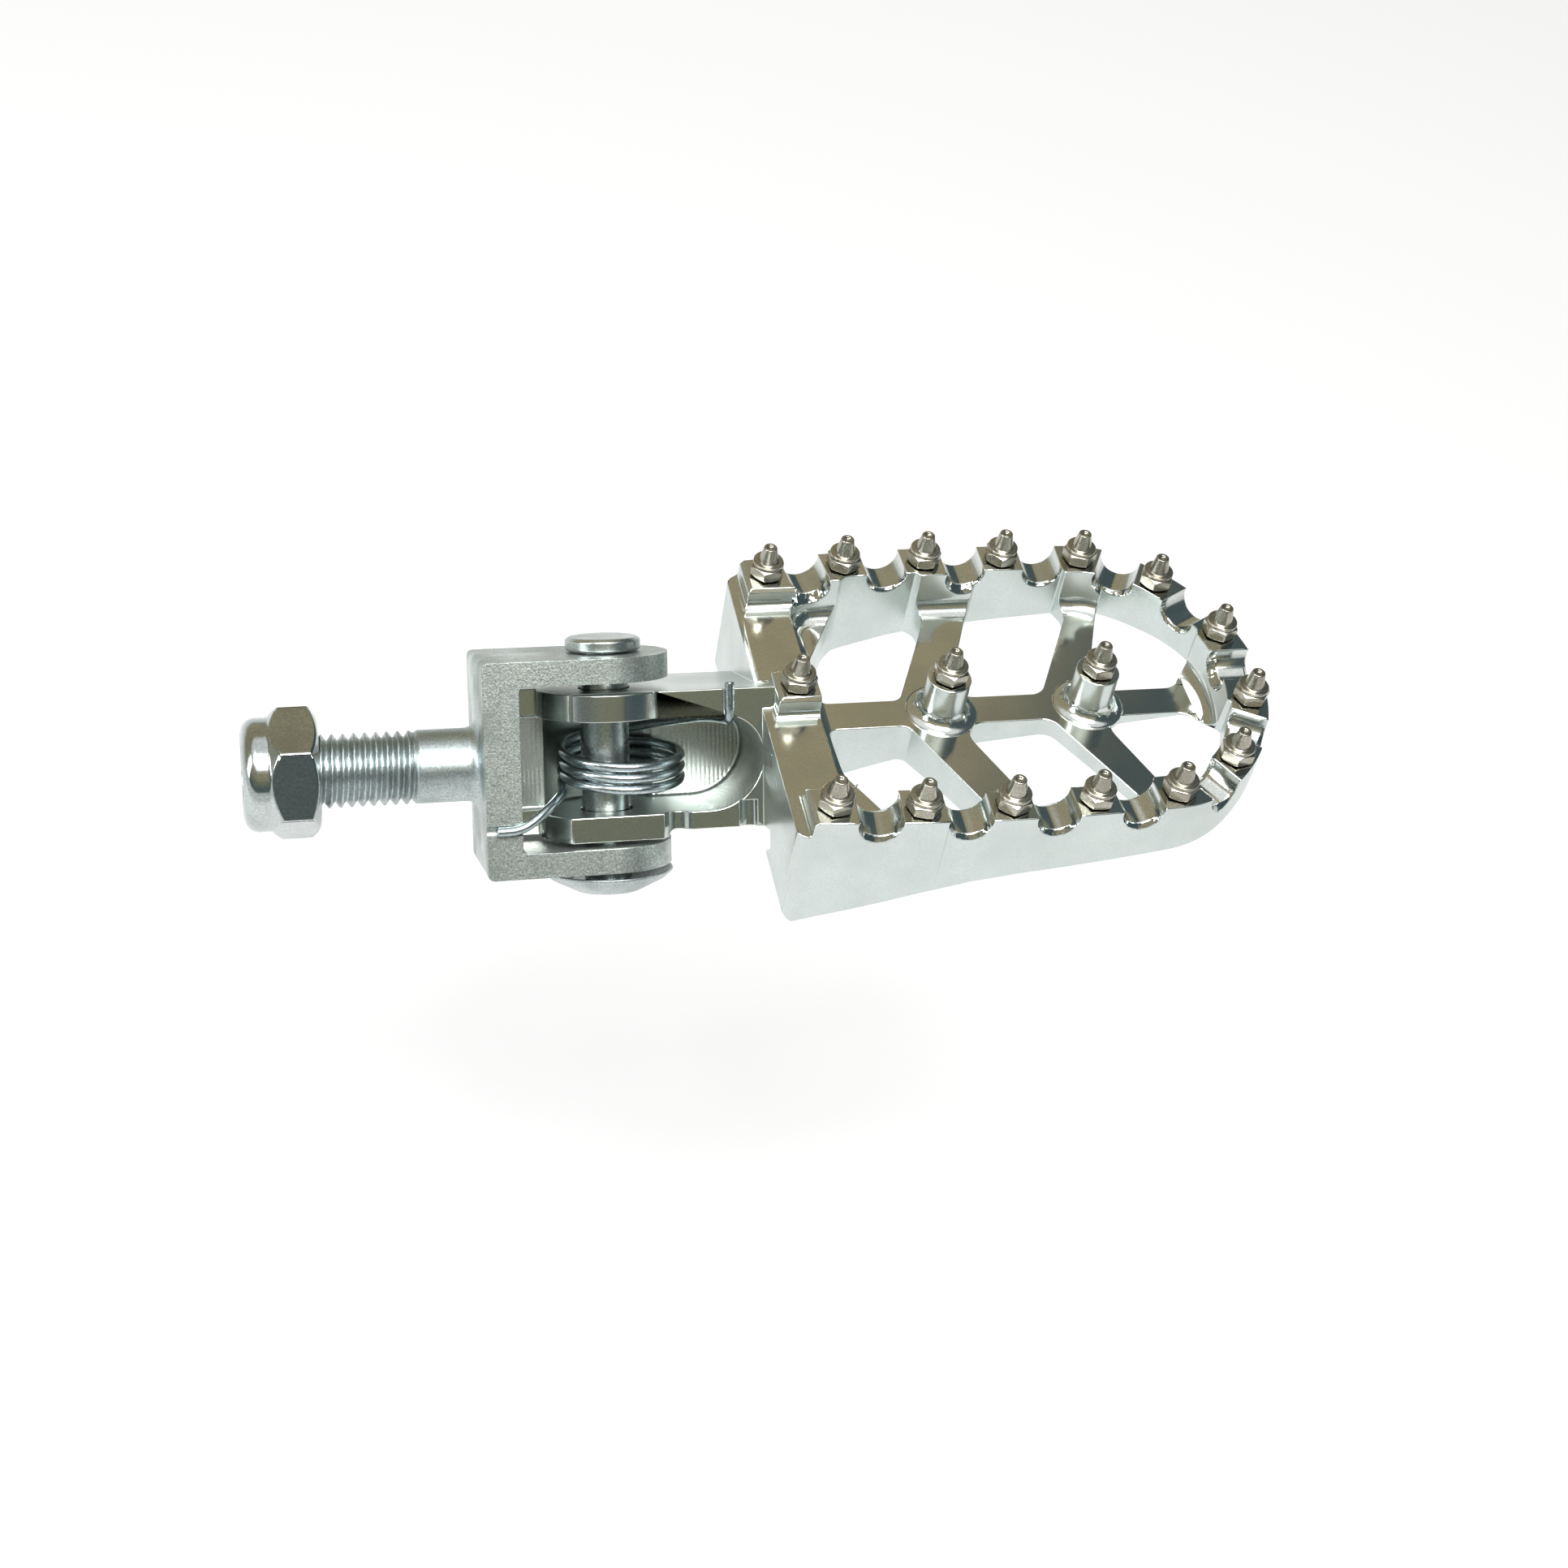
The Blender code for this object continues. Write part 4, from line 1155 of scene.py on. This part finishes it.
@dataclass
class Studs:
    """Seventeen screw-in studs."""

    across_flats: float = 5.3
    seat: float = 0.25
    hex_top: float = 2.3
    collar: Point = (2.62, 3.0)
    neck_r: float = 1.72
    tip_r: float = 1.08
    tip_z: float = 5.9
    dimple: Point = (0.62, 0.4)
    shank: Point = (2.0, 5.0)
    turn: float = 37.0

    def solid(self) -> Solid:
        """Return one stud standing at the origin."""
        corner = self.across_flats / math.sqrt(3)
        flat = self.across_flats / 2
        bm = bmesh.new()
        bmesh.ops.create_cone(bm, cap_ends=True, segments=6, radius1=corner, radius2=corner,
                              depth=self.hex_top - self.seat,
                              matrix=Matrix.Translation((0, 0, (self.hex_top + self.seat) / 2)))
        work = Workpiece(placed(bm, None), [STUD_TURNED])
        limit = Sketch(0, 0).line((flat - 0.1, 0), (flat - 0.1, self.seat), (corner + 0.1, self.seat + 0.35),
                                  (corner + 0.1, self.hex_top - 0.45), (flat - 0.15, self.hex_top),
                                  (flat - 0.15, 3), (0, 3))
        work.keep(limit.spun(48))
        radius, top = self.collar
        low, mid = self.hex_top - 0.25, self.hex_top + 0.12
        r, deep = self.shank
        draw = Sketch(0, -deep).line((r - 0.3, -deep), (r, -deep + 0.4), (r, low), (radius - 0.25, low),
                                     (radius - 0.25, mid), (radius, mid + 0.08), (radius, top - 0.12),
                                     (radius - 0.12, top), (self.neck_r + 0.08, top + 0.03),
                                     (self.neck_r, top + 0.15), (self.tip_r + 0.06, self.tip_z - 0.12),
                                     (self.tip_r - 0.06, self.tip_z))
        hollow, drop = self.dimple
        draw.line((hollow, self.tip_z), (hollow * 0.6, self.tip_z - drop * 0.8), (0, self.tip_z - drop))
        work.join(draw.spun(40))
        return work.taken()

    def build(self, points: list[Vector]) -> list[bpy.types.Object]:
        """Set a stud at each point, each screwed home to its own angle.

        Args:
            points: middle of each stud's foot, mm.

        Returns:
            The pieces.
        """
        pattern = bpy.data.meshes.new("stud_pattern")
        solid = self.solid()
        solid.to_mesh(pattern)
        solid.free()
        made = []
        for i, point in enumerate(points, 1):
            bm = bmesh.new()
            bm.from_mesh(pattern)
            turn = Matrix.Rotation(math.radians(self.turn * i % 60), 4, "Z")
            bmesh.ops.transform(bm, matrix=Matrix.Translation(point) @ turn, verts=bm.verts)
            made.append(settle(f"traction_stud_{i:02d}", bm, "peg", [f"stud_{i:02d}"],
                               [STUD_TURNED], Edging(0.06, 2, 30.0)))
        bpy.data.meshes.remove(pattern)
        return made


# ---------------------------------------------------------------- studio

@dataclass
class Studio:
    """Pale floor, soft light and the camera."""

    azimuth: float = -19.884
    elevation: float = 45.385
    tilt: float = 11.266
    lens: float = 52.525
    eye: Triple = (-40.90, -259.59, 270.83)
    floor_z: float = -0.16
    behind: Stops = ((0.48, "E9EEEC"), (0.56, "A8A898"), (0.66, "A89F84"), (0.88, "A79E83"),
                     (0.93, "FFFFFF"))
    before: Stops = ((0.48, "E9EEEC"), (0.56, "DDE2DF"), (0.60, "606A69"), (0.66, "687170"),
                     (0.73, "808474"), (0.82, "A89F84"), (0.88, "A79E83"), (0.93, "FFFFFF"))
    floor_glow: float = 0.60
    lamps: tuple = (("overhead", (-0.05, -0.25, 0.9), (0.7, 0.35), 9.0, "FFFFFF"),
                    ("front", (0.1, -0.45, 0.95), (0.5, 0.2), 6.0, "FFFFFF"),
                    ("left", (-0.8, -0.1, 0.45), (0.25, 0.6), 5.0, "F4FAFF"))

    def camera(self) -> None:
        """Set up the camera."""
        az, el, roll = (math.radians(a) for a in (self.azimuth, self.elevation, self.tilt))
        back = Vector((math.sin(az) * math.cos(el), -math.cos(az) * math.cos(el), math.sin(el)))
        level = Vector((math.cos(az), math.sin(az), 0))
        right = level * math.cos(roll) + back.cross(level) * math.sin(roll)
        turn = Matrix((right, back.cross(right), back)).transposed().to_4x4()
        data = bpy.data.cameras.new("camera")
        data.lens, data.sensor_width, data.clip_start = self.lens, 36.0, 0.01
        camera = bpy.data.objects.new("camera", data)
        bpy.context.collection.objects.link(camera)
        camera.matrix_world = Matrix.Translation(Vector(self.eye) * MM) @ turn
        bpy.context.scene.camera = camera

    def floor(self) -> None:
        """Lay a pale, evenly lit floor well below the object."""
        bm = bmesh.new()
        bmesh.ops.create_grid(bm, x_segments=1, y_segments=1, size=6.0,
                              matrix=Matrix.Translation((0, 0, self.floor_z)))
        mesh = bpy.data.meshes.new("floor")
        bm.to_mesh(mesh)
        bm.free()
        paint = bpy.data.materials.new("floor_paper_matt")
        paint.use_nodes = True
        shader = paint.node_tree.nodes["Principled BSDF"]
        shader.inputs["Base Color"].default_value = linear("959595")
        shader.inputs["Roughness"].default_value = 0.9
        shader.inputs["Emission Color"].default_value = linear("FFFFFF")
        shader.inputs["Emission Strength"].default_value = self.floor_glow
        mesh.materials.append(paint)
        item = bpy.data.objects.new("floor", mesh)
        bpy.context.collection.objects.link(item)

    def lamp(self, name: str, place: Triple, size: Point, power: float, code: str) -> None:
        """Hang a soft rectangular lamp that faces the peg.

        Args:
            name: the lamp's name.
            place: its middle, m.
            size: its width and height, m.
            power: its power, W.
            code: sRGB hex of its light.
        """
        data = bpy.data.lights.new(name, "AREA")
        data.shape, data.size, data.size_y, data.energy = "RECTANGLE", size[0], size[1], power
        data.color = linear(code)[:3]
        item = bpy.data.objects.new(name, data)
        bpy.context.collection.objects.link(item)
        item.location = place
        item.rotation_euler = (Vector((0.05, 0, 0)) - Vector(place)).to_track_quat("-Z", "Y").to_euler()

    def _ramp(self, tree: bpy.types.NodeTree, height: bpy.types.NodeSocket,
              stops: Stops) -> bpy.types.NodeSocket:
        """Add a colour ramp.

        Args:
            tree: the world's node tree.
            height: output that runs from 0 straight down to 1 straight up.
            stops: position and sRGB hex of each colour.

        Returns:
            The ramp's colour.
        """
        ramp = node(tree, "ValToRGB", {0: height})
        ramp.color_ramp.interpolation = "EASE"
        elements = ramp.color_ramp.elements
        while len(elements) < len(stops):
            elements.new(0.5)
        for element, (position, code) in zip(elements, stops):
            element.position, element.color = position, linear(code)
        return ramp.outputs[0]

    def world(self) -> None:
        """Surround the object with what bright metal reflects: pale ends, buff walls, a dark band."""
        made = bpy.data.worlds.new("studio")
        made.use_nodes = True
        bpy.context.scene.world = made
        tree = made.node_tree
        way = node(tree, "TexCoord").outputs["Generated"]
        parts = node(tree, "SeparateXYZ", {0: way})
        height = node(tree, "MapRange", {"Value": parts.outputs[2], "From Min": -1.0, "From Max": 1.0})
        behind, before = (self._ramp(tree, height.outputs[0], stops) for stops in (self.behind, self.before))
        side = node(tree, "MapRange", {"Value": parts.outputs[1], "From Min": -0.25, "From Max": 0.25})
        round_it = node(tree, "Mix", {0: side.outputs[0], 6: before, 7: behind}, data_type="RGBA")
        flat = node(tree, "VectorMath", {0: way, 1: (1.0, 1.0, 0.0)}, operation="MULTIPLY")
        unit = node(tree, "VectorMath", {0: flat.outputs[0]}, operation="NORMALIZE")
        right = node(tree, "VectorMath", {0: unit.outputs[0], 1: (1.0, 0.0, 0.0)}, operation="DOT_PRODUCT")
        east = node(tree, "MapRange", {"Value": right.outputs["Value"], "From Min": 0.42, "From Max": 0.50})
        low = node(tree, "MapRange", {"Value": parts.outputs[2], "From Min": 0.02, "From Max": 0.14})
        top = node(tree, "MapRange", {"Value": parts.outputs[2], "From Min": 0.86, "From Max": 0.80})
        band = node(tree, "Math", {0: low.outputs[0], 1: top.outputs[0]}, operation="MULTIPLY")
        dark = node(tree, "Math", {0: band.outputs[0], 1: east.outputs[0]}, operation="MULTIPLY")
        tone = node(tree, "Mix", {0: dark.outputs[0], 6: round_it.outputs[2], 7: linear("4E5C60")},
                    data_type="RGBA")
        seen = node(tree, "LightPath").outputs["Is Camera Ray"]
        shown = node(tree, "Mix", {0: seen, 6: tone.outputs[2], 7: linear("F6F7F7")}, data_type="RGBA")
        ground = tree.nodes["Background"]
        tree.links.new(shown.outputs[2], ground.inputs["Color"])
        ground.inputs["Strength"].default_value = 1.0

    def build(self) -> None:
        """Set up everything round the object."""
        bpy.context.scene.view_settings.view_transform = "Standard"
        self.camera()
        self.floor()
        self.world()
        for lamp in self.lamps:
            self.lamp(*lamp)


def main() -> None:
    """Build the studio and every piece, then log how many pieces were made."""
    logging.basicConfig(level=logging.INFO, format="%(name)s: %(message)s")
    Studio().build()
    peg = PegBody()
    made = Clevis().build() + LockNut().build() + HingePin().build() + ReturnSpring().build()
    made += peg.build()
    made += Studs().build(peg.stud_points())
    LOG.info("%d pieces", len(made))
    bpy.context.view_layer.update()


if __name__ == "__main__":
    main()
